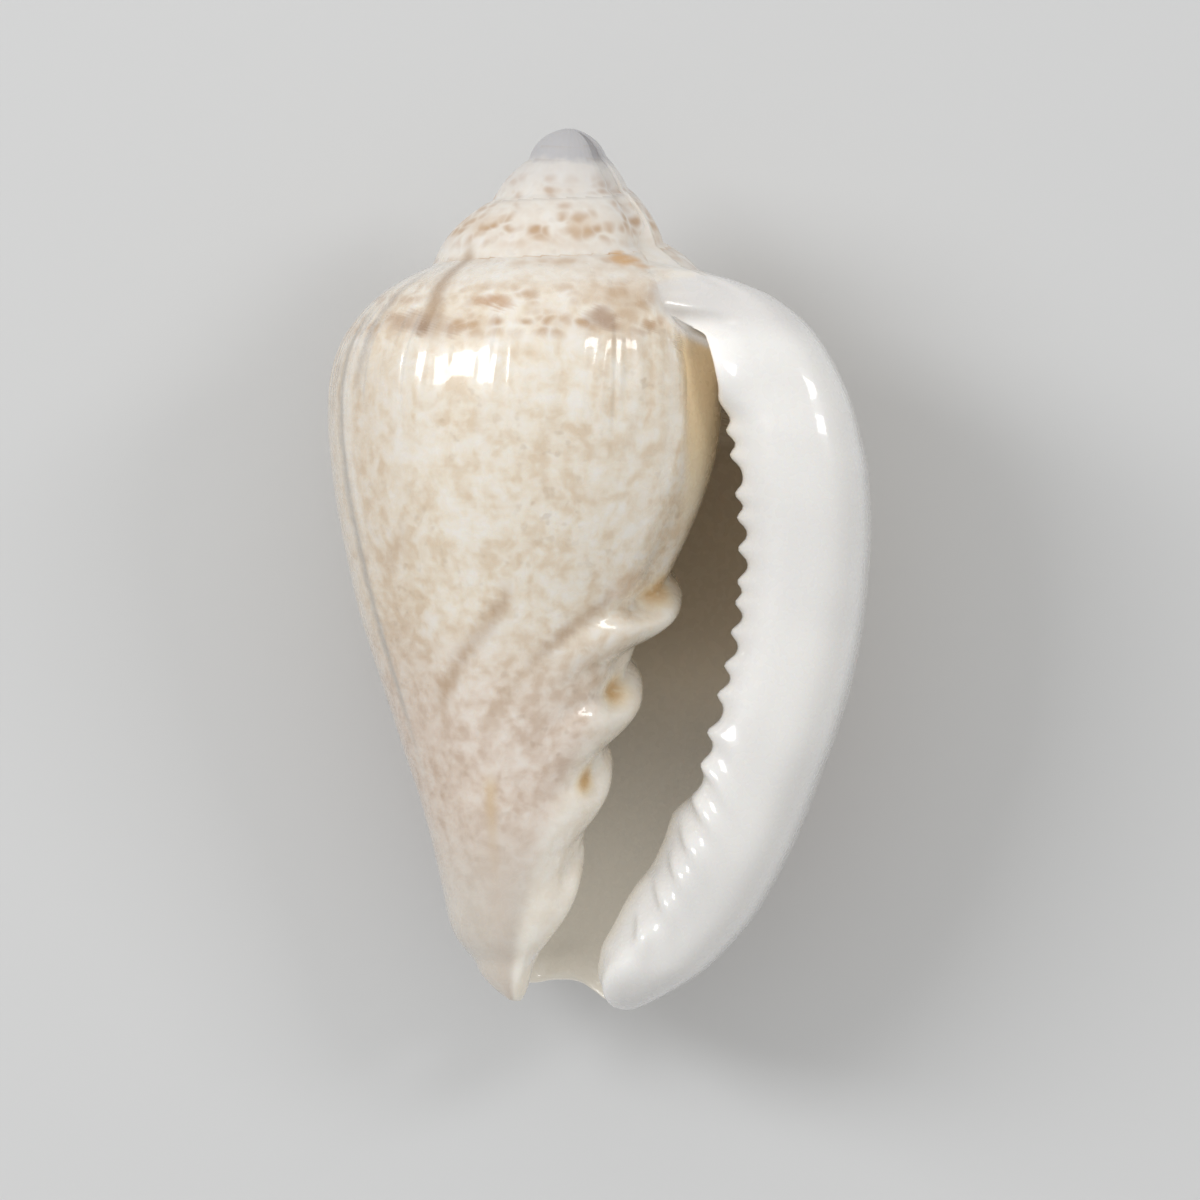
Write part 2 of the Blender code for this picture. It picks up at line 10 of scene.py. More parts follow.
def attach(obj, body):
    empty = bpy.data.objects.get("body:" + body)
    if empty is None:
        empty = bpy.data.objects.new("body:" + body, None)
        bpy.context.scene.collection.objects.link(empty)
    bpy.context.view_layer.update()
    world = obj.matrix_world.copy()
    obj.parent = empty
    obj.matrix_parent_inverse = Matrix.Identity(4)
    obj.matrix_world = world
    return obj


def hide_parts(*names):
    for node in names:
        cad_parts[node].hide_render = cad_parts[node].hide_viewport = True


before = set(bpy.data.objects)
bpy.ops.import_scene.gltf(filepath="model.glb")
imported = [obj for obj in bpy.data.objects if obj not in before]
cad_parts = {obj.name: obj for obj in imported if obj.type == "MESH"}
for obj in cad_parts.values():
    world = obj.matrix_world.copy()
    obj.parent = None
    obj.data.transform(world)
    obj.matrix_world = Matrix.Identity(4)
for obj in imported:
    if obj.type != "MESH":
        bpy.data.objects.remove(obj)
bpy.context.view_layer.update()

# ---------------------------------------------------------------- sizes (mm)
# The shell hangs from its apex: h runs down the coiling axis, x to the lip,
# z out of the mouth. An angle a starts at the lip side (+x) and goes round the
# back (90), the left (180) and the front (270): it follows the whorl back in age.
# LEFT_R, WALL_R and MOUTH_R are three outlines of the last whorl: radius against
# height at 180 degrees, at 0, where it is the outer wall, and at 360, where it
# is the column inside the mouth.
LEFT_R = [(0.0, 0.05), (4.4, 0.4), (5.6, 2.6), (6.57, 5.6), (8.1, 8.05), (9.3, 9.05), (10.4, 9.65),
          (11.5, 9.95), (12.6, 10.05), (13.7, 10.0), (15.9, 9.7), (18.0, 9.25), (20.1, 8.67), (22.3, 8.0),
          (24.4, 7.2), (26.5, 6.35), (28.7, 5.48), (30.8, 4.63), (32.9, 3.91), (35.1, 3.26),
          (36.2, 2.95), (37.0, 2.55), (37.4, 2.2), (37.9, 1.72), (38.5, 1.42), (39.0, 1.15), (39.7, 0.75)]
WALL_R = [(0.0, 0.05), (4.4, 0.4), (5.6, 3.0), (6.57, 6.2), (7.2, 8.2), (8.2, 9.9), (9.2, 11.0),
          (10.4, 12.0), (12.0, 13.0), (14.0, 13.7), (16.5, 14.05), (19.0, 14.15), (22.0, 14.0),
          (25.0, 13.5), (28.5, 12.5), (32.0, 11.3), (35.0, 9.9), (37.5, 7.9), (39.7, 5.8)]
MOUTH_R = [(0.0, 0.05), (4.4, 0.4), (5.6, 3.1), (6.57, 4.95), (7.3, 6.05), (8.0, 6.7), (9.0, 7.2),
           (10.5, 7.58), (12.5, 7.7), (13.6, 7.65), (15.3, 7.36), (17.5, 6.72), (19.7, 5.86), (21.7, 4.98),
           (23.8, 4.3), (27.7, 3.5), (31.8, 2.72), (34.3, 2.03), (36.9, 1.25), (38.1, 0.8), (39.7, 0.6)]
BACK_FLAT = [(6.0, 0.03), (9.0, 0.105), (13.0, 0.155), (18.0, 0.145), (24.0, 0.10), (32.0, 0.04),
             (39.7, 0.0)]                # the back is a little flat, so the shell lies steady on it
BACK_A, BACK_SPAN = 86.0, 42.0
SHOULDER = [(8.5, 0.0), (11.0, 0.06), (16.0, 0.07), (20.0, 0.045), (24.0, 0.03), (32.0, 0.01), (36.0, 0.0)]
SHOULDER_A, SHOULDER_SPAN = 327.0, 19.0  # beside the mouth the body turns in over a soft shoulder
# height and radius of the suture along the spiral, then how each older whorl leaves it
SUTURE_H = [(-45, 5.9), (0, 6.25), (45, 6.62), (90, 6.82), (135, 6.8), (180, 6.57), (270, 5.85),
            (360, 5.03), (450, 4.3), (540, 3.67), (630, 3.15), (720, 2.68), (810, 2.12),
            (900, 1.6), (1080, 1.2), (1260, 0.9), (1440, 0.6)]
SUTURE_R = [(360, 4.95), (450, 4.25), (540, 3.62), (630, 3.3), (720, 3.0), (810, 2.45), (900, 1.88),
            (1080, 1.75), (1260, 1.2), (1440, 0.7)]
WHORL_OUT = [(360, 2.55), (540, 2.6), (720, 2.75), (900, 2.0), (1080, 1.75), (1440, 0.8)]
WHORL_RISE = [(360, 1.2), (540, 1.8), (720, 2.5), (900, 1.5), (1080, 1.6), (1440, 1.4)]
LEFT_SUTURE_H = 6.57                     # the suture's height at 180 degrees, as LEFT_R has it
LIFT_FROM_H, LIFT_FADE = 7.0, 7.0        # the whorl follows its suture up and down less and less below this
ABOVE_SLOPE = 1.6                        # above its suture a whorl falls away this much more steeply
OLDER_FROM_A, OLDER_BLEND = 335.0, 45.0  # going back in age, the last whorl's shape gives way here
SINK_H, SINK_SLOPE = 8.0, 3.0            # below this the spire sinks away inside the last whorl
WHORL_SOFT, DOME_SOFT, BODY_SOFT = (0.07, 0.05), 0.04, 0.08      # fillets where two whorls cross
SPIRE_LEAN, LEAN_H, LEAN_FADE = 0.16, 3.0, 3.5      # the first whorls stand a little to the lip side
DOME_R, DOME_H, DOME_POWER = 1.8, 1.7, 0.56                      # the rounded first whorl
# the lip seen from the front: its outer and its inner edge
LIP_OUT_X = [(5.6, 6.2), (6.0, 6.5), (6.2, 7.04), (6.4, 7.95), (6.62, 8.68), (6.85, 9.37), (7.1, 9.9),
             (8.0, 11.2), (9.04, 12.15), (10.1, 12.85), (11.1, 13.4), (12.2, 13.85), (13.3, 14.2),
             (14.3, 14.5), (15.4, 14.67), (16.5, 14.79), (18.1, 14.88), (19.8, 14.86), (22.0, 14.73),
             (24.1, 14.45), (26.3, 13.96), (28.6, 13.28), (30.8, 12.61), (33.0, 11.75), (35.3, 10.6),
             (36.4, 9.8), (37.6, 8.75), (38.75, 7.5), (39.8, 6.4)]
LIP_IN_X = [(5.6, 4.9), (7.0, 6.0), (8.5, 6.55), (9.0, 6.8), (9.4, 6.97), (10.05, 7.2), (11.2, 7.55),
            (11.7, 7.8), (12.4, 8.3), (13.3, 8.5), (15.0, 8.85), (17.1, 9.22), (20.0, 9.42),
            (22.3, 9.27), (25.2, 8.83), (28.4, 8.15), (31.6, 7.45), (34.1, 6.45), (35.7, 5.7),
            (37.0, 4.75), (38.5, 3.9), (39.8, 3.3)]
# height of the lip's inner edge, as a share of LIP_TOP_Z
EDGE_Z = [(8.5, 0.95), (10.0, 0.95), (11.2, 0.92), (13.0, 0.80), (15.0, 0.78), (39.8, 0.78)]
# height of the lip's broad crest, against the same
CREST_Z = [(8.5, 0.985), (10.8, 0.985), (13.5, 1.04), (39.8, 1.04)]
LIP_FOOT_X = [(27.0, 8.6), (28.4, 8.0), (29.5, 7.3), (30.6, 6.75), (32.0, 6.35), (33.2, 5.85), (34.2, 5.15),
              (35.9, 4.35), (37.1, 3.85), (38.4, 3.75), (39.8, 4.0)]   # where the lip's inner slope ends
FOOT_FROM_H, FOOT_BLEND = 27.0, 3.5      # from here down the inside of the lip runs to that foot
LIP_STRETCH = 0.75                       # at the rim the lip's curves are read this much lower
# height of the lip above the axis
LIP_TOP_Z = [(5.6, 4.2), (6.6, 4.42), (7.5, 4.75), (8.5, 5.4), (9.5, 5.85), (10.3, 6.03), (11.0, 6.1),
             (15.0, 6.15), (20.0, 6.1), (26.0, 5.7), (32.0, 4.9), (36.0, 4.0), (39.8, 2.9)]
CALLUS_H, CALLUS_FADE = 7.4, 1.8         # the lip flows onto the body as a smooth callus down to here
CREASE_H, CREASE_FADE = 8.3, 0.9         # here its edge leaves the body, with a crease behind it
HUG_H, HUG_FADE = 7.8, 1.0               # lower down the callus keeps to the body before it rises
# angle of the seam where the lip meets the body: over the callus, then round under the lip's edge
SEAM_A = [(4.2, 335.0), (5.4, 322.0), (6.6, 309.0), (7.5, 309.5), (8.2, 314.0), (8.8, 323.0), (9.3, 337.0),
          (9.9, 349.0), (10.6, 350.0), (39.8, 350.0)]
RIDGE_H, RIDGE_SPAN, RIDGE_OUT = 6.75, 0.55, 0.22    # a low rounded ridge along the top of that callus
RIDGE_FROM_A, RIDGE_FADE = 297.0, 12.0   # angle at which it starts on the body
LIP_TOP_H, LIP_RISE = 6.05, 0.4          # where the lip starts, and how fast it swells
MOUTH_TOP_H, MOUTH_RISE = 11.9, 2.0      # where the slit of the mouth starts and opens
# how far back the mouth reaches: its deep end's angle at the top, then how much less it is lower down
DEEP_A, DEEP_LESS = 205.0, [(85.0, 20.0, 15.0), (25.0, 35.0, 4.0)]
# height of the lower rim at each angle
SHELL_END = [(-40, 39.72), (0, 39.7), (14, 39.62), (25, 39.4), (33, 39.0), (42, 38.68), (52, 38.57),
             (65, 38.62), (80, 38.8), (130, 38.9), (165, 39.1), (200, 39.4), (250, 39.62), (335, 39.62)]
WALL_T = 1.1                             # thickness of the wall
TEETH_H = [12.15, 13.28, 14.36, 16.1, 17.14, 18.54, 20.0, 20.95, 22.3, 23.8, 25.15, 26.85,
           28.36, 30.0, 31.6, 32.8, 34.1, 35.67]
TOOTH_OUT, TOOTH_HALF, TOOTH_SHARP = 0.52, 0.45, 1.3      # how far a tooth stands out, its half width
FIRST_TOOTH = 0.9, 0.68                  # the topmost tooth: its share of the full size, and its half width
LOW_TEETH_H, LOW_TEETH_FADE = 25.5, 4.5  # from here down the teeth are long ridges that face out of the mouth
# folds of the column: where each starts and ends at the mouth's edge, how far it stands out, its lean
FOLDS = [(19.9, 22.35, 1.12, 0.95), (24.0, 27.0, 0.88, 0.76), (27.8, 30.9, 0.53, 0.8),
         (32.0, 36.1, 0.52, 0.95)]
# how much lower (mm) a fold lies at each angle than at the mouth's edge: it winds up into the shell
FOLD_PATH = [(240, 7.1), (255, 5.7), (270, 4.2), (289, 2.75), (300, 2.15), (317, 1.6), (332, 1.1),
             (343, 0.55), (354, 0.0), (365, -0.3), (420, -2.7), (600, -9.9)]
FOLD_FROM_A, FOLD_RISE = 272.0, 62.0     # the folds rise out of the body from here on
# the pit in each fold's upper part: its depth as a share of the fold, its angle, its place along the fold
PIT_DEPTH, PIT_A, PIT_SPAN, PIT_AT, PIT_HALF = 0.3, 324.0, 12.0, 0.12, 0.15
FOLD_FULL, FULL_A, FULL_SPAN = 0.33, 336.0, 14.0     # each fold is fullest just outside the mouth's edge
STAINS = [(336.5, 0.15), (327.0, 0.0), (317.0, 0.0)]      # stains in the pits of the folds: age, mm above it
STAIN_TALL, STAIN_WIDE = 0.60, 9.0       # half height (mm) and half width (degrees) of a stain
AXIS_TILT_DEG = 3.6                      # the coiling axis leans this much from the long side
REST_ROLL_DEG = -0.68                    # how the shell turns to lie balanced on its back
REST_PITCH_DEG = 3.82
WORN_FLAT = 0.00012                      # the back is rubbed flat this deep where it rests (m)
BASE_H = 39.0                            # the rows' last height, stretched to SHELL_END at the rim
STRETCH_H = 24.0                         # the rows are stretched from here down
# places on the section of wall and lip: foot of its edge, teeth, crest, and back on the outside
EDGE_U, TOOTH_U, CREST_U, OUTSIDE_U = 11.0, 11.7, 13.7, 17.5
ROLL_FROM_A, ROLL_TO_A = -25.0, 16.0     # angles between which the outside is the lip's roll
# the roll runs on past its own columns and blends into the spiral: shares of those columns
ROLL_SPARE, BLEND_FROM, BLEND_OVER = 0.35, 0.8, 0.55
# how high up the rim starts to round off (mm): everywhere, more by the lip, more at the left
RIM_ROUND, RIM_ROUND_LIP, RIM_ROUND_LEFT = 0.8, 1.3, 0.4
# columns of the grid: those of the roll, those of the spiral, and the column's share of the inner half
ROLL_COLUMNS, OUTER_COLUMNS, COLUMN_SHARE = 42, 148, 0.4
MM = 0.001

# ---------------------------------------------------------------- the markings
NO_SUTURE = 30.0                         # what the places without a suture above them are given (mm)
# the glaze that the lip lays on the body: how strong, and the angle it reaches at each height
GLAZE_STRENGTH = 0.8
GLAZE_A = [(5.9, 326.0), (6.6, 312.0), (7.2, 307.0), (7.7, 308.0), (8.3, 311.0), (8.8, 317.0), (9.3, 328.0),
           (10.1, 348.0), (12.5, 360.0)]
WALL_FROM_A = [(8.0, 313.0), (13.0, 315.0), (16.0, 321.0), (20.0, 330.0)]       # where the tan wall starts
# the few large marks: age (degrees), height (mm), half width (degrees), half height (mm), strength, colour
MARKS = [(227.5, 9.35, 4.4, 0.46, 0.95, (0.27, 0.18, 0.13)),
         (221.0, 9.3, 9.0, 0.62, 0.70, (0.44, 0.29, 0.18)),
         (237.0, 9.45, 4.0, 0.40, 0.55, (0.46, 0.32, 0.22)),
         (249.0, 8.1, 7.5, 0.36, 0.80, (0.52, 0.31, 0.17)),
         (286.0, 8.6, 6.5, 0.58, 0.80, (0.40, 0.27, 0.19)),
         (293.0, 7.9, 9.0, 0.8, 0.4, (0.58, 0.42, 0.27)),
         (301.0, 7.9, 3.5, 0.30, 0.55, (0.50, 0.32, 0.17)),
         (303.0, 8.75, 3.0, 0.28, 0.60, (0.46, 0.29, 0.16)),
         (303.0, 5.85, 10.0, 0.36, 0.90, (0.62, 0.34, 0.11)),
         (215.0, 9.1, 5.0, 0.3, 0.4, (0.48, 0.33, 0.21))]
# smears: age they start and end at, height at the start, mm down per degree, half height, strength, colour
SMEARS = [(262.0, 218.0, 21.0, 0.136, 1.10, 0.85, (0.49, 0.35, 0.23)),
          (306.0, 264.0, 20.8, 0.092, 0.75, 0.85, (0.49, 0.35, 0.23)),
          (322.0, 298.0, 19.9, 0.05, 1.00, 0.50, (0.60, 0.40, 0.25)),
          (268.0, 240.0, 25.0, 0.10, 1.00, 0.40, (0.54, 0.41, 0.29)),
          (225.0, 205.0, 18.5, 0.12, 0.90, 0.50, (0.52, 0.37, 0.24))]
# growth lines: age, half width (degrees), from and to height (mm), strength, colour
GROWTH_LINES = [(218.5, 6.0, 5.2, 10.8, 0.90, (0.44, 0.31, 0.20)),
                (205.8, 3.8, 6.4, 13.5, 0.65, (0.42, 0.37, 0.32)),
                (196.0, 3.6, 8.2, 31.0, 0.9, (0.40, 0.37, 0.33)),
                # the pale line beside the one above is a painted highlight along its right side
                (201.0, 3.0, 8.2, 22.0, 0.4, (0.84, 0.81, 0.76)),
                (247.0, 7.0, 29.0, 37.5, 0.62, (0.68, 0.50, 0.28)),
                (581.0, 5.0, 4.4, 7.6, 0.60, (0.45, 0.32, 0.21))]
SHORT_LINE = 6.0                         # a growth line shorter than this (mm) lies aslant


def curve(points, x):
    """A smooth curve through (x, y) points that never swings past them (monotone cubic)."""
    xs = np.array([p[0] for p in points], float)
    ys = np.array([p[1] for p in points], float)
    dx = np.diff(xs)
    s = np.diff(ys) / dx
    m = np.empty_like(ys)
    m[0], m[-1] = s[0], s[-1]
    same = s[:-1] * s[1:] > 0
    w1, w2 = 2 * dx[1:] + dx[:-1], dx[1:] + 2 * dx[:-1]
    with np.errstate(divide="ignore", invalid="ignore"):
        h = (w1 + w2) / (w1 / s[:-1] + w2 / s[1:])
    m[1:-1] = np.where(same, h, 0.0)
    x = np.clip(x, xs[0], xs[-1])
    i = np.clip(np.searchsorted(xs, x, side="right") - 1, 0, len(xs) - 2)
    t = (x - xs[i]) / dx[i]
    t2, t3 = t * t, t * t * t
    return ((2 * t3 - 3 * t2 + 1) * ys[i] + (t3 - 2 * t2 + t) * dx[i] * m[i]
            + (3 * t2 - 2 * t3) * ys[i + 1] + (t3 - t2) * dx[i] * m[i + 1])


def step(x):
    """Rises smoothly from 0 to 1 as x does: three times x squared less twice x cubed."""
    x = np.clip(x, 0.0, 1.0)
    return x * x * (3 - 2 * x)


def over(a, b, soft):
    """The larger of two surfaces, with a small fillet where they cross."""
    return 0.5 * (a + b + np.sqrt((a - b) ** 2 + soft * soft))


def body_r(a, h):
    """Radius of the last whorl, its top on the suture. The logarithm of the radius runs evenly with the
    angle from the outer wall to the mouth, as on a spiral, and a cosine takes it through the left outline."""
    lift = (curve(SUTURE_H, a) - LEFT_SUTURE_H) * (1 - step((h - LIFT_FROM_H) / LIFT_FADE))
    g = h - lift
    left, wall, mouth = (np.log(np.maximum(curve(t, g), 0.05)) for t in (LEFT_R, WALL_R, MOUTH_R))
    q = (a - 180.0) / 180.0
    tilt = 0.5 * (mouth - wall)
    swell = 0.5 * (mouth + wall) - left
    c = np.cos(np.radians(a))
    flat = curve(BACK_FLAT, h) * np.exp(-(((a - BACK_A) / BACK_SPAN) ** 2))
    full = curve(SHOULDER, h) * np.exp(-(((a - SHOULDER_A) / SHOULDER_SPAN) ** 2))
    return np.exp(left + tilt * q + swell * 0.5 * (1 + c) - flat + full)


def whorl_r(a, h):
    """Radius of an older whorl: it leaves its suture steeply and flattens as it goes down."""
    d = h - curve(SUTURE_H, a)
    out, rise = curve(WHORL_OUT, a), curve(WHORL_RISE, a)
    down = np.where(d > 0, 1 - np.exp(-np.maximum(d, 0) / rise), ABOVE_SLOPE * d / rise)
    return curve(SUTURE_R, a) + out * down


def older_r(a, h):
    """The spire under the last whorl, one to three turns back."""
    t = a + 360.0
    s = step((t - OLDER_FROM_A) / OLDER_BLEND)
    r = (1 - s) * body_r(t, h) + s * whorl_r(t, h)
    for turns, soft in enumerate(WHORL_SOFT, 1):
        r = over(r, whorl_r(t + 360.0 * turns, h), soft)
    d = np.clip(h / DOME_H, 0, 1)
    return over(r, DOME_R * np.maximum(1 - (1 - d) ** 2, 1e-9) ** DOME_POWER, DOME_SOFT)


def outer_r(a, h):
    """The whole outside: the last whorl where it stands out of the spire, which is sunk away below it."""
    return over(body_r(a, h), older_r(a, h) - SINK_SLOPE * np.maximum(h - SINK_H, 0), BODY_SOFT)


def ridge(h):
    """How far the callus swells along its top."""
    return RIDGE_OUT * np.exp(-(((h - RIDGE_H) / RIDGE_SPAN) ** 2))


def lean(h):
    """How far the shell's middle is moved to the lip side: SPIRE_LEAN at the first whorls, then nothing."""
    return SPIRE_LEAN * (1 - step((h - LEAN_H) / LEAN_FADE))


def spread(fixed, at):
    """Weights of a natural cubic curve: how much each point, at its place in 'fixed', counts at each
    place in 'at'. The second derivatives at the points come from one set of linear equations."""
    n = len(fixed)
    k = np.array(fixed, float)
    dx = np.diff(k)
    lhs, rhs = np.eye(n), np.zeros((n, n))
    for i in range(1, n - 1):
        lhs[i, i - 1], lhs[i, i], lhs[i, i + 1] = dx[i - 1] / 6, (dx[i - 1] + dx[i]) / 3, dx[i] / 6
        rhs[i, i - 1], rhs[i, i + 1] = 1 / dx[i - 1], 1 / dx[i]
        rhs[i, i] = -1 / dx[i - 1] - 1 / dx[i]
    second = np.linalg.solve(lhs, rhs)
    at = np.asarray(at, float)
    i = np.clip(np.searchsorted(k, at, side="right") - 1, 0, n - 2)
    hh = dx[i]
    b = (at - k[i]) / hh
    a = 1 - b
    w = np.zeros((len(at), n))
    rows = np.arange(len(at))
    w[rows, i] += a
    w[rows, i + 1] += b
    w += ((a ** 3 - a) * hh ** 2 / 6)[:, None] * second[i]
    w += ((b ** 3 - b) * hh ** 2 / 6)[:, None] * second[i + 1]
    return w


def folds(a, h):
    """How far the four folds of the column stand out at angle a and height h: half waves that
    wind into the mouth, each with a shallow pit in its upper half just outside the mouth's edge."""
    g = h - curve(FOLD_PATH, a)
    total = 0.0
    for start, end, out, lean_up in FOLDS:
        s = np.clip((g - start) / (end - start), 0, 1)
        total = total + out * np.sin(np.pi * s ** lean_up)
        pit = np.exp(-(((a - PIT_A) / PIT_SPAN) ** 2) - (((s - PIT_AT) / PIT_HALF) ** 2))
        total = total - PIT_DEPTH * out * pit
    full = 1 + FOLD_FULL * np.exp(-(((a - FULL_A) / FULL_SPAN) ** 2))
    return total * step((a - FOLD_FROM_A) / FOLD_RISE) * full


def teeth(h):
    """A row of bell-shaped bumps down the lip's edge, one at each height of TEETH_H."""
    total = 0.0
    for t in TEETH_H:
        share, half = FIRST_TOOTH if t == TEETH_H[0] else (1.0, TOOTH_HALF)
        total = total + share * np.exp(-(((h - t) / half) ** 2) * TOOTH_SHARP)
    return total


def polar(a, r):
    """x and z of a point at angle a and radius r."""
    return r * np.cos(np.radians(a)), -r * np.sin(np.radians(a))


def lip_section(h0, hl, a_deep):
    """Named points of the section through wall and lip, each as its place and its (x, z): round the deep
    end of the mouth, back inside the wall, up the lip's inner slope to its edge, over the crest, down the
    lip's outer side and back onto the whorl. Those of the lip are shares of its width and its height."""
    lx, ix, tz = curve(LIP_OUT_X, hl), curve(LIP_IN_X, hl), curve(LIP_TOP_Z, hl)
    fx, crest = curve(LIP_FOOT_X, hl), curve(CREST_Z, h0)
    w, t, d = lx - ix, WALL_T, a_deep
    low = step((h0 - FOOT_FROM_H) / FOOT_BLEND)

    def wall(a):
        return body_r(a + 0 * h0, h0)

    def mix(high_up, low_down):
        return high_up + low * (low_down - high_up)

    points = [(0.0, polar(d - 30, wall(d + 330))), (1.0, polar(d - 12, wall(d + 348))),
              (2.0, polar(d + 2, 0.5 * (wall(d + 362) + wall(d + 2) - t))),
              (3.0, polar(d - 10, wall(d - 10) - t))]
    points += [(4.3 + 1.3 * k, polar(22 + (d - 22) * f, wall(22 + (d - 22) * f) - t))
               for k, f in enumerate((0.8, 0.58, 0.36, 0.16))]
    gx, gz = polar(ROLL_TO_A, wall(ROLL_TO_A))
    points += [(9.3, (mix(gx - 1.4 * t, gx + 0.45 * (fx - gx)), mix(gz, 0.7 * gz))),
               (10.3, (mix(ix + 0.50 * w, fx + 0.04 * w), 0.15 * tz)),
               (11.1, (mix(ix + 0.16 * w, fx + 0.35 * (ix - fx)), 0.50 * tz)),
               (TOOTH_U, (ix, curve(EDGE_Z, h0) * tz)), (12.4, (ix + 0.16 * w, 0.98 * tz)),
               (13.3, (ix + 0.43 * w, crest * tz)),
               (14.2, (ix + 0.73 * w, (0.5 * crest + 0.48) * tz)),
               (15.0, (ix + 0.945 * w, 0.74 * tz)), (15.7, (lx, 0.32 * tz)),
               (16.5, (lx - 0.12, -0.15 * tz)), (17.4, polar(14.0, wall(14.0) + 0.1)),
               (18.3, polar(25.0, wall(25.0))), (19.3, polar(38.0, wall(38.0)))]
    return points


class ShellGrid:
    """The whole skin as one grid: arrays x, h and z with a row for each height and a column for each
    place round it. Each row is a closed loop: the outside (the lip's roll, then round the spiral), into
    the mouth along the column, round the deep end, back inside the wall, over the toothed edge and the
    lip's face to its crest. The steps below are taken in order, and each works on whole arrays."""

    def __init__(self, roll_n, outer_n, col_share, heights):
        self.roll_n, self.outer_n = roll_n, outer_n
        self.half = roll_n + outer_n
        self.col_n = int(round(self.half * col_share))
        self.h0 = np.asarray(heights, float)[:, None]
        in_n = self.half - self.col_n
        self.u_in = 1.0 + (CREST_U - 1.0) * np.arange(1, in_n) / in_n
        self.lay_angles()
        self.lay_heights()
        self.lay_outside()
        self.lay_inside()
        self.close_above_mouth()
        self.spread_callus()
        self.join_loop()
        self.raise_teeth()
        self.round_rim()
        self.x = self.x + lean(self.h)

    def lay_angles(self):
        """Angles of the columns: evenly over the lip's roll, evenly on to the seam, then down the column
        to the deep end. Above the mouth the slit is shut and the column's angles all fall on the seam."""
        h0, roll_n, outer_n, col_n = self.h0, self.roll_n, self.outer_n, self.col_n
        self.meet = meet = curve(SEAM_A, h0)
        roll = ROLL_FROM_A + (ROLL_TO_A - ROLL_FROM_A) * np.arange(roll_n) / roll_n
        spiral = ROLL_TO_A + (meet - ROLL_TO_A) * np.arange(outer_n + 1) / outer_n
        self.a_out = np.concatenate([np.broadcast_to(roll, (len(h0), roll_n)), spiral], axis=1)
        self.a_deep = DEEP_A
        for less, start, run in DEEP_LESS:
            self.a_deep = self.a_deep - less * step((h0 - start) / run)
        self.gap = step(np.clip((h0 - MOUTH_TOP_H) / MOUTH_RISE, 0, 1)) ** 0.5
        self.closed = h0 <= MOUTH_TOP_H
        along = (np.arange(1, col_n + 1) / col_n) ** 1.15
        self.a_col = meet + (self.a_deep + 360.0 - meet) * along * self.gap

    def both_ways(self, values):
        """Values of the outside's columns, then the same ones backwards: column i is paired with -i."""
        return np.concatenate([values, values[:, self.half - np.arange(1, self.half)]], axis=1)

    def lay_heights(self):
        """Heights of the points: level rows down to STRETCH_H, then drawn out so that each column ends on
        the rim."""
        h0, half = self.h0, self.half
        self.rim = self.both_ways(curve(SHELL_END, self.a_out))
        self.h = h0 + (self.rim - BASE_H) * step((h0 - STRETCH_H) / (BASE_H - STRETCH_H))
        self.h_out, self.h_col, self.h_in = np.split(self.h, [half + 1, half + 1 + self.col_n], axis=1)

    def lay_outside(self):
        """The spiral outside with its folds and the callus's ridge, and the column inside the mouth."""
        a, h = self.a_out, self.h_out
        r = outer_r(a, h) + folds(a, h) + ridge(h) * step((a - RIDGE_FROM_A) / RIDGE_FADE)
        self.xo, self.zo = polar(a, r)
        self.xc, self.zc = polar(self.a_col, body_r(self.a_col, self.h_col) + folds(self.a_col, self.h_col))

    def lay_inside(self):
        """Inside of the wall and lip: a smooth curve through the section's named points. It goes on over the
        crest as the lip's roll, and blends into the spiral outside without a step."""
        h0, roll_n = self.h0, self.roll_n
        hl = h0 + LIP_STRETCH * step((h0 - STRETCH_H) / (BASE_H - STRETCH_H))
        self.edge_x = curve(LIP_IN_X, hl)
        points = lip_section(h0, hl, self.a_deep)
        knots = [u for u, at in points]
        px, pz = (np.concatenate([at[i] + 0 * h0 for u, at in points], axis=1) for i in (0, 1))
        k = roll_n + int(round(roll_n * ROLL_SPARE))
        u_roll = CREST_U + (OUTSIDE_U - CREST_U) * np.arange(k) / roll_n
        weigh = spread(knots, self.u_in)
        self.xi, self.zi = px @ weigh.T, pz @ weigh.T
        weigh = spread(knots, u_roll)
        self.xr, self.zr = px @ weigh.T, pz @ weigh.T

        s = step((np.arange(k) - roll_n * BLEND_FROM) / (roll_n * BLEND_OVER))
        rise = np.clip((h0 - LIP_TOP_H) / LIP_RISE, 0, 1)
        self.rise = rise = np.sqrt(1 - (1 - rise) ** 2)
        self.xr += s * (self.xo[:, :k] - self.xr)
        self.zr += s * (self.zo[:, :k] - self.zr)
        self.xo[:, :k] += rise * (self.xr - self.xo[:, :k])
        self.zo[:, :k] += rise * (self.zr - self.zo[:, :k])

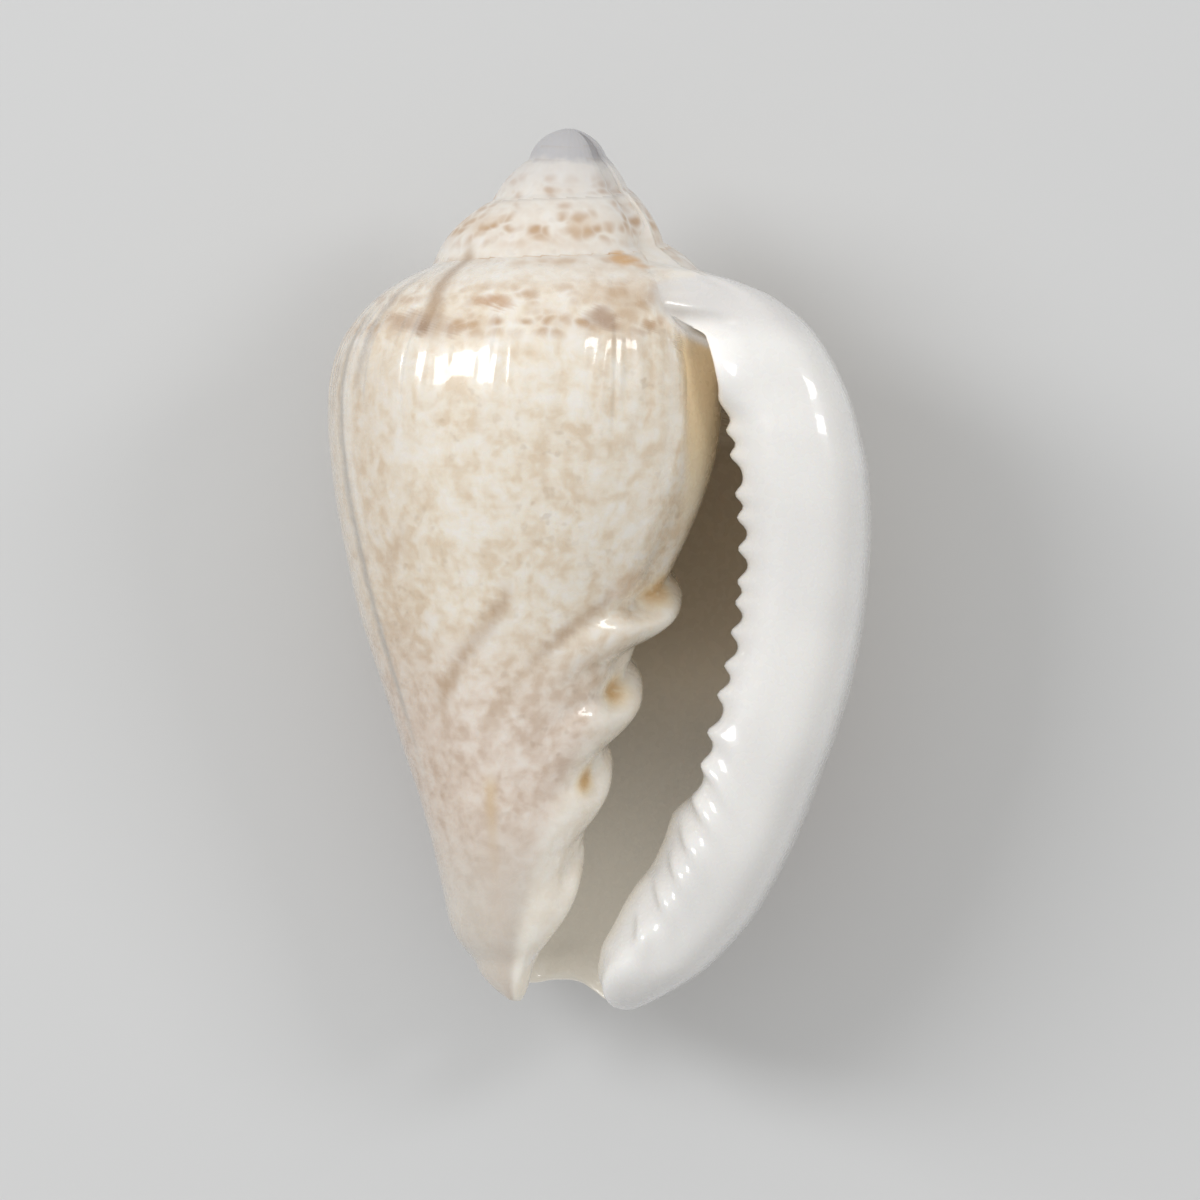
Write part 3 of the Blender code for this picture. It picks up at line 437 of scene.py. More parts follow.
    def close_above_mouth(self):
        """Above the mouth the inside shrinks into the seam between lip and body: c is 1 where a point keeps
        its own angle and radius and 0 where it lies on the seam. The lip's face spreads from there."""
        h0, u, gap, rise = self.h0, self.u_in, self.gap, self.rise
        ai = np.degrees(np.arctan2(-self.zi, self.xi))
        ai = np.where(ai < -100, ai + 360, ai)
        ri = np.hypot(self.xi, self.zi)
        aj = self.meet - 360.0
        self.lift = lift = step((h0 - CREASE_H) / CREASE_FADE)
        c = np.where(u < TOOTH_U, lift * step((u - EDGE_U) / (TOOTH_U - EDGE_U)),
                     lift + (1 - lift) * step((u - TOOTH_U) / 1.1))
        c = gap + (1 - gap) * c
        a_new = aj + c * (ai - aj)
        r_new = body_r(a_new + 360.0, self.h_in) + c * (ri - body_r(ai + 360.0, self.h_in))
        self.a_in = a_new + 360.0
        self.face = face = np.clip((u - TOOTH_U) / (CREST_U - TOOTH_U), 0, 1)
        a_ring = aj + (ROLL_FROM_A - aj) * face
        ring = polar(a_ring, outer_r(a_ring, self.h_in))
        start = polar(aj, outer_r(aj, h0))
        laid = []
        for own, ring_at, seam, begun in zip(polar(a_new, r_new), ring, self.seam(), start):
            off = (seam - begun) * (1 - face)
            laid.append(np.where(face > 0, ring_at + off + rise * (own - ring_at - off), own))
        self.xi, self.zi = laid

    def seam(self):
        """x and z of the seam, where the outside meets the column."""
        return self.xo[:, self.half:self.half + 1], self.zo[:, self.half:self.half + 1]

    def spread_callus(self):
        """At its top the lip spreads over the body as a smooth callus: one cubic curve from the body to the
        crest that starts and ends along the surfaces it joins, with a low rounded ridge along its top."""
        h0, f = self.h0, self.face[None, :]
        seam = np.stack(self.seam())
        before = np.stack(polar(self.meet - 1.0, outer_r(self.meet - 1.0, h0) + ridge(h0)))
        crest = np.stack([self.xr[:, :1], self.zr[:, :1]])
        after = np.stack([self.xr[:, 1:2], self.zr[:, 1:2]])
        reach = np.hypot(*(crest - seam))

        def aim(v):
            return v / np.maximum(np.hypot(*v), 1e-9) * reach

        hug = step((h0 - HUG_H) / HUG_FADE)
        leave = (0.3 + 1.6 * hug) * aim(seam - before) + 0.6 * (1 - hug) * (crest - seam)
        easy = ((2 * f ** 3 - 3 * f ** 2 + 1) * seam + (f ** 3 - 2 * f ** 2 + f) * leave
                + (3 * f ** 2 - 2 * f ** 3) * crest + (f ** 3 - f ** 2) * aim(after - crest) * 0.9)
        smooth = (1 - step((h0 - CALLUS_H) / CALLUS_FADE)) * self.rise * (f > 0)
        swell = ridge(h0) * step(f / 0.9) * (1 - step((f - 0.7) / 0.3)) * (f > 0)
        self.xi = self.xi + smooth * (easy[0] - self.xi)
        self.zi = self.zi + smooth * (easy[1] - self.zi) + swell

    def join_loop(self):
        """Puts the three stretches of each row together. Above the mouth, what is inside lies on the seam."""
        self.held = self.closed & (self.u_in <= np.where(self.lift > 0, EDGE_U, TOOTH_U))
        loops = []
        stretches = (self.xo, self.xc, self.xi), (self.zo, self.zc, self.zi)
        for (out, col, inside), seam in zip(stretches, self.seam()):
            loops.append(np.concatenate([out, np.where(self.closed, seam, col),
                                         np.where(self.held, seam, inside)], axis=1))
        self.x, self.z = loops

    def raise_teeth(self):
        """Teeth along the inner edge of the lip. Lower down they are longer and lower, lie aslant, and face
        out of the mouth."""
        h0 = self.h0
        u = np.zeros(2 * self.half)
        u[self.half + 1 + self.col_n:] = self.u_in
        low = step((h0 - LOW_TEETH_H) / LOW_TEETH_FADE)
        on_edge = np.exp(-((u - TOOTH_U + 0.15 - 0.5 * low) / (0.38 + 0.42 * low)) ** 2)
        slant = np.clip(self.x - self.edge_x, -0.5, 2.5) * (0.2 + 1.0 * low)
        bite = (TOOTH_OUT - 0.2 * low) * teeth(self.h - slant) * on_edge * step((h0 - CREASE_H - 1.5) / 1.0)
        bite = bite * np.where(h0 > MOUTH_TOP_H, 1.0, step((u - EDGE_U) / 0.6))
        facing = np.radians(80.0) * low * np.clip((u - 11.3) / 1.1, 0, 1)
        self.x = self.x - bite * np.cos(facing)
        self.z = self.z + bite * np.sin(facing)

    def round_rim(self):
        """Round the lower rim: as a column nears its end, its distance from the middle of the wall shrinks as
        the width of an ellipse does, so each column meets its partner there."""
        half, a = self.half, self.a_out
        by_lip, at_left = 1 - step((a + 5.0) / 45.0), step((a - 175.0) / 60.0)
        zone = self.both_ways(RIM_ROUND + RIM_ROUND_LIP * by_lip + RIM_ROUND_LEFT * at_left)
        s = np.clip((self.h - (self.rim - zone)) / zone, 0, 1)
        s = np.where(self.h0 >= BASE_H - 1e-9, 1.0, s)
        keep = np.sqrt(1 - s * s)
        pair = (-np.arange(2 * half)) % (2 * half)
        away = np.minimum(np.arange(2 * half), pair)          # how many columns from the lip's crest
        inner = np.clip(away, int(self.roll_n * 0.6), half - int(self.outer_n * 0.2))
        mx, mz = (0.5 * (v + v[:, pair]) for v in (self.x, self.z))
        mx, mz = mx[:, inner], mz[:, inner]                   # both ends round off about one point
        self.x, self.z = mx + (self.x - mx) * keep, mz + (self.z - mz) * keep

    def loop(self, outside, column, inside):
        """Values for every point, from those of the three stretches of a row; each may be one number."""
        shapes = self.a_out.shape, self.a_col.shape, self.a_in.shape
        parts = zip((outside, column, inside), shapes)
        return np.concatenate([np.broadcast_to(v, shape) for v, shape in parts], axis=1)

    def white_callus(self):
        """Where the skin is white: the lip, and the glaze that it lays on the body below a slanting line."""
        h0, u, face = self.h0, self.u_in, self.face
        u_out = np.concatenate([CREST_U + (OUTSIDE_U - CREST_U) * np.arange(self.roll_n) / self.roll_n,
                                OUTSIDE_U + 60.0 * np.arange(self.outer_n + 1) / self.outer_n])
        glaze = GLAZE_STRENGTH * step((self.a_out - curve(GLAZE_A, h0) + 6.0) / 11.0)
        thin = 0.3 * (1 - step(face / 0.6)) * (1 - step((h0 - 8.6) / 0.8))
        white_in = step((u - 10.6) / 0.7) - np.where(face > 0, thin, 0.0)
        white = self.loop(np.maximum(1 - step((u_out - 15.9) / 0.7), glaze), 0.0, white_in)
        margin = self.h - 6.83 + 0.23 * (self.x - 3.97) + 0.12          # it slants up to the lip
        return white * step(margin / 0.35)

    def values(self):
        """What the colours need to know of each point, as grids under the names of their attributes."""
        h, h0, meet, u = self.h, self.h0, self.meet, self.u_in
        age = self.loop(self.a_out, self.a_col, self.a_in)
        below = self.loop(below_suture(self.a_out, self.h_out), NO_SUTURE, NO_SUTURE)
        inside = self.loop(0.0, step((self.a_col - 352.0) / 30.0), 1 - step((u - 10.3) / 0.8))

        # painted light: a glow in the crease under the callus, where its shadow falls
        crease = [0.7 * np.exp(-((a - meet) / 14.0) ** 2) for a in (self.a_out, self.a_col)]
        crease_painted_light = self.loop(*crease, (self.face > 0) * (1 - step(self.face / 0.75)))
        crease_painted_light = crease_painted_light * step((h0 - 7.9) / 0.8) * (1 - step((h0 - 9.6) / 2.0))

        # stains in the pits between the folds, and the tan wall above them
        g = h - curve(FOLD_PATH, age)
        pit = 0.0
        for fold, (at, up) in zip(FOLDS, STAINS):
            pit = pit + np.exp(-(((g - fold[0] + up) / STAIN_TALL) ** 2) - (((age - at) / STAIN_WIDE) ** 2))
        wall = step((age - curve(WALL_FROM_A, h)) / (4.0 + 0.9 * np.maximum(h - 10.0, 0)))
        wall = wall * (1 - step((age - 420.0) / 20.0)) * step((h - 8.6) / 1.2) * (1 - step((h - 14.0) / 5.5))

        # painted shade: the lip's inner slope darkens toward its foot low in the mouth, where it turns into
        # shadow
        foot = self.loop(0.0, 0.0, 1 - step(u - 10.5)) * step((h - 24.0) / 4.0)
        grids = dict(age=age, down=h, below_suture=below, callus=self.white_callus(), inside=inside,
                     fold_pit=pit, mouth_wall=wall, lip_foot_shade=foot, crease_painted_light=crease_painted_light)
        held = self.loop(False, self.closed, self.held)         # points that lie on the seam share its values
        for name in grids:
            grids[name] = np.where(held, grids[name][:, self.half:self.half + 1], grids[name])
        return grids


def place(x, h, z):
    """From the axis to the object's frame, in metres: apex to +Y, mouth up."""
    c, s = math.cos(math.radians(AXIS_TILT_DEG)), math.sin(math.radians(AXIS_TILT_DEG))
    return np.stack([x * c - h * s, -(x * s + h * c), z], axis=-1) * MM


def skin(x, h, z):
    """Vertices and faces of a grid: quads between its rows, a fan at the apex."""
    rows, n = x.shape
    points = place(x, h, z).reshape(-1, 3)
    apex = place(lean(0.0), 0.0, 0.0).reshape(1, 3)
    i = np.arange(rows - 1)[:, None] * n
    j = np.arange(n)[None, :]
    k = (j + 1) % n
    quads = np.stack([i + j, i + k, i + n + k, i + n + j], axis=-1).reshape(-1, 4)
    fan = np.stack([np.full(n, rows * n), np.roll(np.arange(n), -1), np.arange(n)], axis=-1)
    return np.concatenate([points, apex]), quads, fan


# ------------------------------------------------------------------ the fine skin
def below_suture(a, h):
    """How far a point of the outside lies below its own suture (mm): the least drop from any whorl's."""
    best = np.full(np.broadcast(a, h).shape, 99.0)          # more than any
    for turn_back in (0.0, 360.0, 720.0, 1080.0):
        d = h - curve(SUTURE_H, a + turn_back)
        best = np.where((d >= 0) & (d < best), d, best)
    return best


def fine_rows():
    """Heights of the rows: close together over the spire, the callus and the teeth, closest at the apex
    and at the rounded lower rim, where they crowd as a square and as a sine do."""
    dome_h, spire_h, callus_h, body_h = 1.5, 9.0, 10.6, 36.2
    dome = dome_h * (np.arange(1, 17) / 16) ** 2
    spire = np.linspace(dome_h, spire_h, 101)[1:]
    callus = np.linspace(spire_h, callus_h, 17)[1:]
    body = np.linspace(callus_h, body_h, 138)[1:]
    rim = body_h + (BASE_H - body_h) * np.sin(np.linspace(0, np.pi / 2, 24))[1:]
    return np.concatenate([dome, spire, callus, body, rim])


def turn(points):
    """Lay the shell on its back as the frame has it, middle and lowest point on the origin."""
    a, b = math.radians(REST_ROLL_DEG), math.radians(REST_PITCH_DEG)
    roll = np.array([[math.cos(a), 0, math.sin(a)], [0, 1, 0], [-math.sin(a), 0, math.cos(a)]])
    pitch = np.array([[1, 0, 0], [0, math.cos(b), -math.sin(b)], [0, math.sin(b), math.cos(b)]])
    spin = pitch @ roll
    points = points @ spin.T
    lo, hi = points.min(axis=0), points.max(axis=0)
    lo[2] += WORN_FLAT
    points[:, 2] = np.maximum(points[:, 2], lo[2])
    shift = np.array([0.5 * (lo[0] + hi[0]), 0.5 * (lo[1] + hi[1]), lo[2]])
    return points - shift, spin, shift


def strokes(age, down, wob):
    """Each large mark, growth line and smear in turn: how strongly it covers, and its colour. A mark is an
    oval hill, a line is a hill in age, a smear is a hill about a line that falls as the age falls."""
    for a, h, wide, tall, strong, ink in MARKS:
        far = ((age + wob - a) / wide) ** 2 + ((down + 0.15 * wob - h) / tall) ** 2
        yield strong * step(1 - far / 1.3), ink
    for a, half_wide, top, end, strong, ink in GROWTH_LINES:
        lag = 3.0 * (top - down) if end - top < SHORT_LINE else 0.0       # the short ones lie aslant
        near = step(1 - np.abs(age + 0.5 * wob + lag - a) / half_wide)
        yield strong * near * step((down - top) / 1.2) * step(5 * (end - down) / end), ink
    for a, end_a, h, slope, tall, strong, ink in SMEARS:
        near = step(1 - np.abs(down - h - (a - age) * slope + 0.16 * wob) / tall)
        near = near * (0.8 + 0.2 * np.sin(0.25 * age + 2.0 * wob))
        yield strong * near * step((a - age) / 6.0) * step((age - end_a) / 8.0), ink


def painted(age, down, x, h, z):
    """The strokes laid one over another: how much of the ground shows between them, and the ink on it.
    Their edges are made ragged by sines that run across each other."""
    wob = (0.6 * np.sin(4.1 * x + 2.2 * np.sin(3.1 * h))
           + 0.42 * np.sin(7.3 * h + 2.0 * np.sin(5.2 * x + 3.3 * z))
           + 0.3 * np.sin(11.0 * z + 9.0 * x))
    ground, ink = np.ones(age.shape), np.zeros(age.shape + (3,))
    for near, colour in strokes(age, down, wob):
        ground = ground * (1 - near)
        ink = ink + near[..., None] * (np.array(colour) - ink)
    return ground, ink


def add_values(mesh, name, values, kind="FLOAT"):
    """One value for each vertex, a number or three of them, as an attribute of the mesh."""
    layer = mesh.attributes.new(name, kind, "POINT")
    layer.data.foreach_set("value" if kind == "FLOAT" else "vector",
                           np.ascontiguousarray(values, dtype=np.float32).ravel())


def make_shell():
    """The shell's mesh with what its colours read, its doubled points merged and its faces outwards."""
    grid = ShellGrid(ROLL_COLUMNS, OUTER_COLUMNS, COLUMN_SHARE, fine_rows())
    points, quads, fan = skin(grid.x, grid.h, grid.z)
    points, spin, shift = turn(points)
    mesh = bpy.data.meshes.new("marginella_shell")
    mesh.from_pydata(points.tolist(), [], quads.tolist() + fan.tolist())
    about = grid.values()
    about["ground"], ink = painted(about["age"], about["down"], grid.x, grid.h, grid.z)
    for name, values in about.items():
        add_values(mesh, name, np.concatenate([values.ravel(), [values[0].mean()]]))
    add_values(mesh, "ink", np.concatenate([ink.reshape(-1, 3), [[0.0, 0.0, 0.0]]]), "FLOAT_VECTOR")
    bm = bmesh.new()
    bm.from_mesh(mesh)
    bmesh.ops.remove_doubles(bm, verts=bm.verts, dist=1e-7)
    bmesh.ops.dissolve_degenerate(bm, edges=bm.edges, dist=1e-8)
    bmesh.ops.recalc_face_normals(bm, faces=bm.faces)
    bm.to_mesh(mesh)
    bm.free()
    mesh.polygons.foreach_set("use_smooth", np.ones(len(mesh.polygons), bool))
    shell = bpy.data.objects.new("marginella_shell", mesh)
    bpy.context.scene.collection.objects.link(shell)
    return shell, spin, shift


# ------------------------------------------------------------------ material
# colours of the ground, each near the apex and near the base
PALE, PALE_LOW = (0.88, 0.845, 0.785), (0.84, 0.775, 0.705)
CREAM, CREAM_LOW = (0.85, 0.775, 0.655), (0.77, 0.665, 0.575)
TAN, TAN_LOW = (0.72, 0.585, 0.43), (0.60, 0.465, 0.36)
# painted shade for the side away from the mouth
LEFT_PAINTED_SHADE = (0.81, 0.76, 0.71)
FRECKLE = (0.44, 0.33, 0.23)
SPIRE_WHITE = (0.77, 0.745, 0.715)
SPOT_BROWN, HAZE_BROWN = (0.49, 0.31, 0.17), (0.62, 0.46, 0.31)
# painted sheen for upright streaks below the shoulder
STREAK_PAINTED_SHEEN = (0.86, 0.83, 0.78)
GLASSY_GREY, APEX_GREY = (0.62, 0.61, 0.61), (0.49, 0.485, 0.50)
# the second of these is a painted shadow by the base
BASE_WHITE, BASE_PAINTED_SHADOW = (0.65, 0.615, 0.555), (0.62, 0.52, 0.44)
SUTURE_LINE = (0.45, 0.40, 0.35)
# colours beside and in the mouth
# the tan of the wall beside the mouth is partly painted warm shade
WALL_RIM, WALL_TOP, WALL_LOW = (0.86, 0.82, 0.74), (0.92, 0.71, 0.43), (0.95, 0.82, 0.59)
COLUMN_PALE, COLUMN_WARM = (0.93, 0.895, 0.82), (0.87, 0.81, 0.71)
STAIN_HALO, STAIN_CORE = (0.86, 0.71, 0.46), (0.60, 0.34, 0.10)
# the last of these, the grey at the lip's top, is partly painted shade
LIP_WHITE, LIP_GREY, LIP_TOP_GREY = (0.84, 0.835, 0.82), (0.78, 0.775, 0.765), (0.67, 0.65, 0.64)
# the darker top of the mouth and the grey at the lip's foot are painted shade
MOUTH_TOP, MOUTH_LOW, FOOT_PAINTED_SHADE = (0.72, 0.62, 0.48), (0.84, 0.80, 0.71), (0.50, 0.47, 0.42)
BUMP_HEIGHT = 0.00003                   # m


class Nodes:
    """Short words for building one material's node tree."""

    def __init__(self, name):
        self.mat = bpy.data.materials.new(name)
        self.mat.use_nodes = True
        self.tree = self.mat.node_tree
        self.shader = self.tree.nodes["Principled BSDF"]

    def link(self, a, b):
        self.tree.links.new(a, b)

    def put(self, socket, value):
        """Gives a socket its number, colour or vector, or links another node to it."""
        if isinstance(value, (int, float)):
            socket.default_value = value
        elif isinstance(value, tuple):
            socket.default_value = (*value, 1.0) if socket.type == "RGBA" else value
        else:
            self.link(value, socket)

    def value(self, name, kind="Fac"):
        """One of the mesh's own attributes."""
        n = self.tree.nodes.new("ShaderNodeAttribute")
        n.attribute_name = name
        return n.outputs[kind]

    def place(self, scale=(1, 1, 1), turn=(0, 0, 0), shift=(0, 0, 0)):
        """Place on the object, scaled, turned (degrees) and shifted (m)."""
        c = self.tree.nodes.new("ShaderNodeTexCoord")
        m = self.tree.nodes.new("ShaderNodeMapping")
        m.inputs["Scale"].default_value = scale
        m.inputs["Rotation"].default_value = [math.radians(t) for t in turn]
        m.inputs["Location"].default_value = shift
        self.link(c.outputs["Object"], m.inputs["Vector"])
        return m.outputs[0]

    def join(self, x, y, z=0.0):
        n = self.tree.nodes.new("ShaderNodeCombineXYZ")
        for s, v in zip(n.inputs, (x, y, z)):
            self.put(s, v)
        return n.outputs[0]

    def soft_noise(self, where, scale, detail, rough=0.5):
        n = self.tree.nodes.new("ShaderNodeTexNoise")
        self.link(where, n.inputs["Vector"])
        n.inputs["Scale"].default_value = scale
        n.inputs["Detail"].default_value = detail
        n.inputs["Roughness"].default_value = rough
        return n

    def noise(self, where, scale, detail=2.0, rough=0.5):
        return self.soft_noise(where, scale, detail, rough).outputs["Fac"]

    def cells(self, where, scale):
        """Distance from the middle of the nearest cell."""
        n = self.tree.nodes.new("ShaderNodeTexVoronoi")
        self.link(where, n.inputs["Vector"])
        n.inputs["Scale"].default_value = scale
        return n.outputs["Distance"]

    def vector(self, op, a, b):
        n = self.tree.nodes.new("ShaderNodeVectorMath")
        n.operation = op
        for s, v in zip(n.inputs, (a, b)):
            self.put(s, v)
        return n.outputs[0]

    def stretched(self, where, scale):
        return self.vector("MULTIPLY", where, scale)

    def stir(self, where, scale, far):
        """The same place pushed about by a noise, at most half of far each way."""
        push = self.vector("SUBTRACT", self.soft_noise(where, scale, 1.0).outputs["Color"], (0.5, 0.5, 0.5))
        return self.vector("ADD", where, self.vector("MULTIPLY", push, (far, far, far)))

    def math(self, op, a, b=None):
        n = self.tree.nodes.new("ShaderNodeMath")
        n.operation = op
        self.put(n.inputs[0], a)
        if b is not None:
            self.put(n.inputs[1], b)
        return n.outputs[0]

    def times(self, *vals):
        out = vals[0]
        for v in vals[1:]:
            out = self.math("MULTIPLY", out, v)
        return out

    def ramp(self, x, lo, hi, out=(0.0, 1.0), smooth=True):
        """Goes from out[0] to out[1] as x goes from lo to hi, and stays there."""
        n = self.tree.nodes.new("ShaderNodeMapRange")
        n.interpolation_type = "SMOOTHSTEP" if smooth else "LINEAR"
        self.put(n.inputs["Value"], x)
        for k, v in (("From Min", lo), ("From Max", hi), ("To Min", out[0]), ("To Max", out[1])):
            n.inputs[k].default_value = v
        return n.outputs[0]

    def hill(self, x, middle, half):
        """One at the middle, falling smoothly to nothing at half the width either side."""
        return self.ramp(self.math("ABSOLUTE", self.math("SUBTRACT", x, middle)), half, 0.0)

    def mix(self, f, a, b, kind="MIX"):
        """Colour a, with as much of b laid on it as f says."""
        n = self.tree.nodes.new("ShaderNodeMix")
        n.data_type = "RGBA"
        n.blend_type = kind
        n.clamp_factor = True
        for i, v in ((0, f), (6, a), (7, b)):
            self.put(n.inputs[i], v)
        return n.outputs[2]


class Porcelain(Nodes):
    """The shell's glazed skin, with the values and noises that its layers of colour share. Places on it are
    told by age (degrees), down (mm from the apex) and below (mm from the suture)."""

    def __init__(self):
        super().__init__("marginella_porcelain")
        self.age, self.down, self.below = self.value("age"), self.value("down"), self.value("below_suture")
        self.white, self.inner, self.fold = self.value("callus"), self.value("inside"), self.value("fold_pit")
        # the second of these is painted light: a glow in the crease under the callus
        self.tan_wall, self.crease_glow = self.value("mouth_wall"), self.value("crease_painted_light")
        self.outside = self.math("SUBTRACT", 1.0, self.math("MAXIMUM", self.white, self.inner))
        self.mid = self.place()
        self.cloud = self.noise(self.place((1.0, 0.6, 1.0), (0, 0, 40)), 260.0)
        self.blot = self.noise(self.stretched(self.stir(self.mid, 700.0, 0.0012), (1.0, 0.8, 1.0)), 1150.0)
        self.grain = self.noise(self.mid, 2100.0, 1.0)

    def reach(self, full, none, strength):
        """How strongly something shows that is full at one height and gone at the other."""
        return self.times(self.ramp(self.down, none, full), strength)


# Each layer below takes the colour so far and gives it with its own laid on.
def ground(m):
    """Clouds: pale cells with cream and tan between them, broken up by finer noises."""
    tone = m.math("ADD", m.times(m.cloud, 0.6), m.times(m.grain, 0.5))
    rows = m.noise(m.join(m.times(m.age, 0.035), m.times(m.down, 2.0)), 1.0, 2.0, 0.6)
    tone = m.math("ADD", tone, m.math("ADD", m.blot, m.times(rows, 0.22)))
    low = m.ramp(m.down, 21.0, 28.0)
    pale, cream, tan = m.mix(low, PALE, PALE_LOW), m.mix(low, CREAM, CREAM_LOW), m.mix(low, TAN, TAN_LOW)
    col = m.mix(m.ramp(tone, 0.81, 1.19), pale, cream)
    return m.mix(m.times(m.ramp(tone, 1.07, 1.43), 0.8), col, tan)


def shaded(m, col):
    """Painted shade: a little darker and warmer round the side away from the mouth, where less light falls,
    with small soft brown freckles, thicker in some clouds, and a whiter spire."""
    # painted shade on the side away from the mouth
    left = m.times(m.ramp(m.age, 238.0, 206.0), m.ramp(m.down, 9.0, 12.0), 0.8)
    col = m.mix(left, col, LEFT_PAINTED_SHADE, "MULTIPLY")
    dots = m.noise(m.place(shift=(0.003, 0.001, 0.0)), 1900.0, 1.0)
    col = m.mix(m.times(m.ramp(dots, 0.58, 0.74), m.ramp(m.cloud, 0.40, 0.60), 0.30), col, FRECKLE)
    return m.mix(m.reach(5.0, 9.2, 0.60), col, SPIRE_WHITE)


def spotted(m, col):
    """Broken bands of brown spots: two on each older whorl and two on the last, the upper fainter."""
    dot = m.cells(m.stretched(m.stir(m.mid, 900.0, 0.0009), (1.0, 1.35, 1.0)), 1200.0)
    patch = m.noise(m.place(shift=(0.0, 0.004, 0.001)), 420.0, 1.0)
    old = m.ramp(m.down, 6.6, 6.0)
    band = m.math("MAXIMUM", m.hill(m.below, 3.1, 1.0), m.times(m.hill(m.below, 1.8, 0.9), 0.75))
    older = m.math("MAXIMUM", m.hill(m.below, 1.35, 1.25), m.times(m.hill(m.below, 0.35, 0.4), 0.7))
    band = m.math("ADD", m.times(band, m.math("SUBTRACT", 1.0, old)), m.times(older, old))
    spot = m.times(m.ramp(dot, 0.70, 0.16), m.ramp(patch, 0.27, 0.42), band, m.ramp(m.down, 1.4, 2.6))
    col = m.mix(m.times(spot, 0.9), col, SPOT_BROWN)
    haze = m.times(m.ramp(patch, 0.42, 0.60), band, m.ramp(m.down, 3.5, 4.4), 0.5)
    return m.mix(haze, col, HAZE_BROWN)


def stroked(m, col):
    """The large marks, growth lines and smears that painted() works out, then faint upright streaks of
    painted sheen.
    """
    col = m.mix(1.0, m.mix(1.0, col, m.value("ground"), "MULTIPLY"), m.value("ink", "Color"), "ADD")
    # painted sheen: pale upright streaks where the highlights run down below the shoulder
    streak = m.noise(m.join(m.times(m.age, 0.16), m.times(m.down, 0.03)), 1.0)
    body = m.ramp(m.down, 8.0, 9.5), m.ramp(m.down, 19.0, 13.0)
    return m.mix(m.times(m.ramp(streak, 0.52, 0.72), *body, 0.3), col, STREAK_PAINTED_SHEEN)


def ended(m, col):
    """Grey glassy first whorls at the apex, and a plain whitish base."""
    col = m.mix(m.reach(1.5, 4.5, 0.6), col, GLASSY_GREY)
    col = m.mix(m.ramp(m.math("ADD", m.down, m.times(m.grain, 0.5)), 2.0, 1.45), col, APEX_GREY)
    return m.mix(m.reach(36.0, 30.0, 0.75), col, BASE_WHITE)


def mouth_side(m, col):
    """The tan wall beside the mouth, partly its own colour and partly painted warm shade, with a pale edge to
    it, a pale glaze over the crests of the folds and down the column, stains in their pits, and a painted
    brown shadow by the base."""
    rim = m.times(m.hill(m.age, 311.0, 4.0), m.ramp(m.down, 9.0, 10.0), m.ramp(m.down, 19.0, 15.0), 0.45)
    col = m.mix(rim, col, WALL_RIM)
    # the tan wall beside the mouth: its own tan, with painted warm shade where the body turns in under the
    # lip
    wall = m.mix(m.ramp(m.down, 11.0, 17.0), WALL_TOP, WALL_LOW)
    col = m.mix(m.times(m.tan_wall, 0.95), col, wall)
    crests = m.ramp(m.math("ADD", m.age, m.times(m.down, 3.6)), 394.0, 414.0)
    enamel = m.mix(m.ramp(m.blot, 0.35, 0.65), COLUMN_PALE, COLUMN_WARM)
    col = m.mix(m.times(crests, m.ramp(m.down, 20.0, 22.0), 0.85), col, enamel)
    col = m.mix(m.times(m.ramp(m.fold, 0.03, 0.5), 0.55), col, STAIN_HALO)
    col = m.mix(m.times(m.ramp(m.fold, 0.25, 1.0), m.ramp(m.blot, 0.15, 0.45), 0.75), col, STAIN_CORE)
    # painted shadow: a brown shade low on the front-left by the base
    return m.mix(m.times(m.hill(m.age, 250.0, 30.0), m.ramp(m.down, 30.0, 33.0), 0.35), col, BASE_PAINTED_SHADOW)


def lip_and_mouth(m, col, deep):
    """The white lip, greyer at its top (partly painted shade), the mouth's inside, and painted shade toward
    its top and at the lip's foot.
    """
    lip = m.mix(m.ramp(m.noise(m.mid, 160.0, 1.0), 0.35, 0.7), LIP_WHITE, LIP_GREY)
    # greyer at the lip's top, where the callus turns away from the light: partly the thin glaze's own grey,
    # partly painted shade
    lip = m.mix(m.reach(7.8, 9.3, 0.55), lip, LIP_TOP_GREY)
    col = m.mix(m.inner, m.mix(m.white, col, lip), deep)
    # painted shade at the foot of the lip
    return m.mix(m.times(m.value("lip_foot_shade"), 0.75), col, FOOT_PAINTED_SHADE)


def sutured(m, col):
    """A fine dark line in each suture, fainter on the last whorl."""
    line = m.times(m.ramp(m.below, 0.22, 0.0), m.ramp(m.down, 5.0, 6.3, (0.4, 0.12)), m.outside)
    return m.mix(line, col, SUTURE_LINE)


def painted_glow(m, col, deep):
    """Painted light: the inside of the mouth glows a little, more toward its open end, and the crease under
    the callus glows, to lift their shade.
    """
    lit = m.ramp(m.down, 22.0, 39.5, (0.0, 0.245), False)
    lit = m.times(m.inner, m.math("ADD", lit, m.ramp(m.down, 20.0, 16.0, (0.0, 0.01))))
    m.link(m.mix(m.ramp(m.crease_glow, 0.0, 0.15), deep, col), m.shader.inputs["Emission Color"])
    m.link(m.math("MAXIMUM", lit, m.times(m.crease_glow, 0.36)), m.shader.inputs["Emission Strength"])


